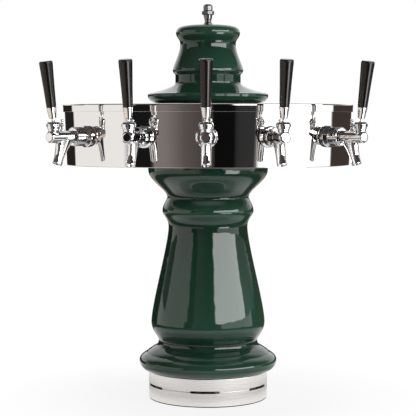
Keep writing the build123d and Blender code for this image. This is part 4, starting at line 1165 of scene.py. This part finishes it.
lever_mesh = stood("lever", lever_outline, chrome, LEVER_OUT, PIVOT_UP, LEVER_LEAN, 40)
arm_mesh = turned("lever arm", arm_outline, chrome, 24)
arm_mesh.transform(
    Matrix.Translation((LEVER_OUT * MM, 0, PIVOT_UP * MM)) @ Matrix.Rotation(radians(-ARM_LEAN), 4, "Y")
    @ Matrix.Translation((0, 0, -ARM_LENGTH * MM))
)
lever_mesh = joined("lever", [lever_mesh, arm_mesh])
ferrule_mesh = stood("ferrule", ferrule_outline, chrome, LEVER_OUT, PIVOT_UP, LEVER_LEAN, 64)
handle_mesh = stood("handle", handle_outline, plastic, LEVER_OUT, PIVOT_UP, LEVER_LEAN, 96)


def copy_at(mesh, name, place):
    made = mesh.copy()
    made.name = name
    made.transform(place)
    return made


for number, place in enumerate(STATIONS, start=1):
    body = f"tap_lever_{number}"
    for label, node, mesh, slot in (
        ("lever_bar", "lever", lever_mesh, "chrome"),
        ("ferrule_sleeve", "ferrule", ferrule_mesh, "chrome"),
        ("handle_grip", "handle", handle_mesh, "black_plastic"),
    ):
        name = f"{label}_{number}"
        piece(name, copy_at(mesh, name, place), body, f"{node}_{number}", slot=slot)

# %% [markdown]
# ## The lid's screws
# Three small domed screws hold the lid's lip to the pan at the back. A tree places them as it does the
# faucets' pieces; each has a hexagon socket, which is a Boolean with a six-sided bar.

# %% The lid's screws
SCREW_BEARINGS, SCREW_Z = (133.0, 180.0, 227.0), 609
LIP_FACE = LIP_OUT + taper_at(SCREW_Z)

head_outline = solid([
    (0, LIP_FACE - 9, 0), (2, LIP_FACE - 9, 0.3), (2, LIP_FACE + 0.1, 0), (3.8, LIP_FACE + 0.1, 0.2),
    (3.7, LIP_FACE + 1.2, 0.5), (2.2, LIP_FACE + 2.2, 0.6), (0, LIP_FACE + 2.2, 0),
])
screw_body = laid("lid screw", head_outline, steel, 48)
socket_bar = laid("socket", [
    (0, LIP_FACE + 0.9), (1.45, LIP_FACE + 0.9), (1.45, LIP_FACE + 4), (0, LIP_FACE + 4),
], steel, 6)
lid_screw = cut_out("lid screw", screw_body, [socket_bar])
places = [station(b, SCREW_Z) for b in SCREW_BEARINGS]
piece("lid_screw_row", row("lid screws", lid_screw, steel, places), "tower", "lid_screws", slot="steel")

# %% [markdown]
# ## Finishes for the pieces that stay as they are
# Gaskets, pipe, lines, foam, nuts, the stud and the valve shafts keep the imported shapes: they are plain
# turned or bent parts and mostly hidden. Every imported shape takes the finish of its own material, so those
# that a piece stands for have theirs too.

# %% Finishes for the other nodes
FINISHES = {
    "glaze": glaze, "polished_steel": mirror, "chrome": chrome, "brushed_steel": brushed, "steel": steel,
    "black_plastic": plastic, "rubber": rubber, "line_plastic": tubing, "foam": foam,
}
subparts = frame["record"]["subparts"]
for subpart in subparts:
    node = frame["nodes"][subpart["node"]]
    node.data.materials.clear()
    node.data.materials.append(FINISHES[subpart["material_slot"]])
print(len(subparts), "nodes dressed")
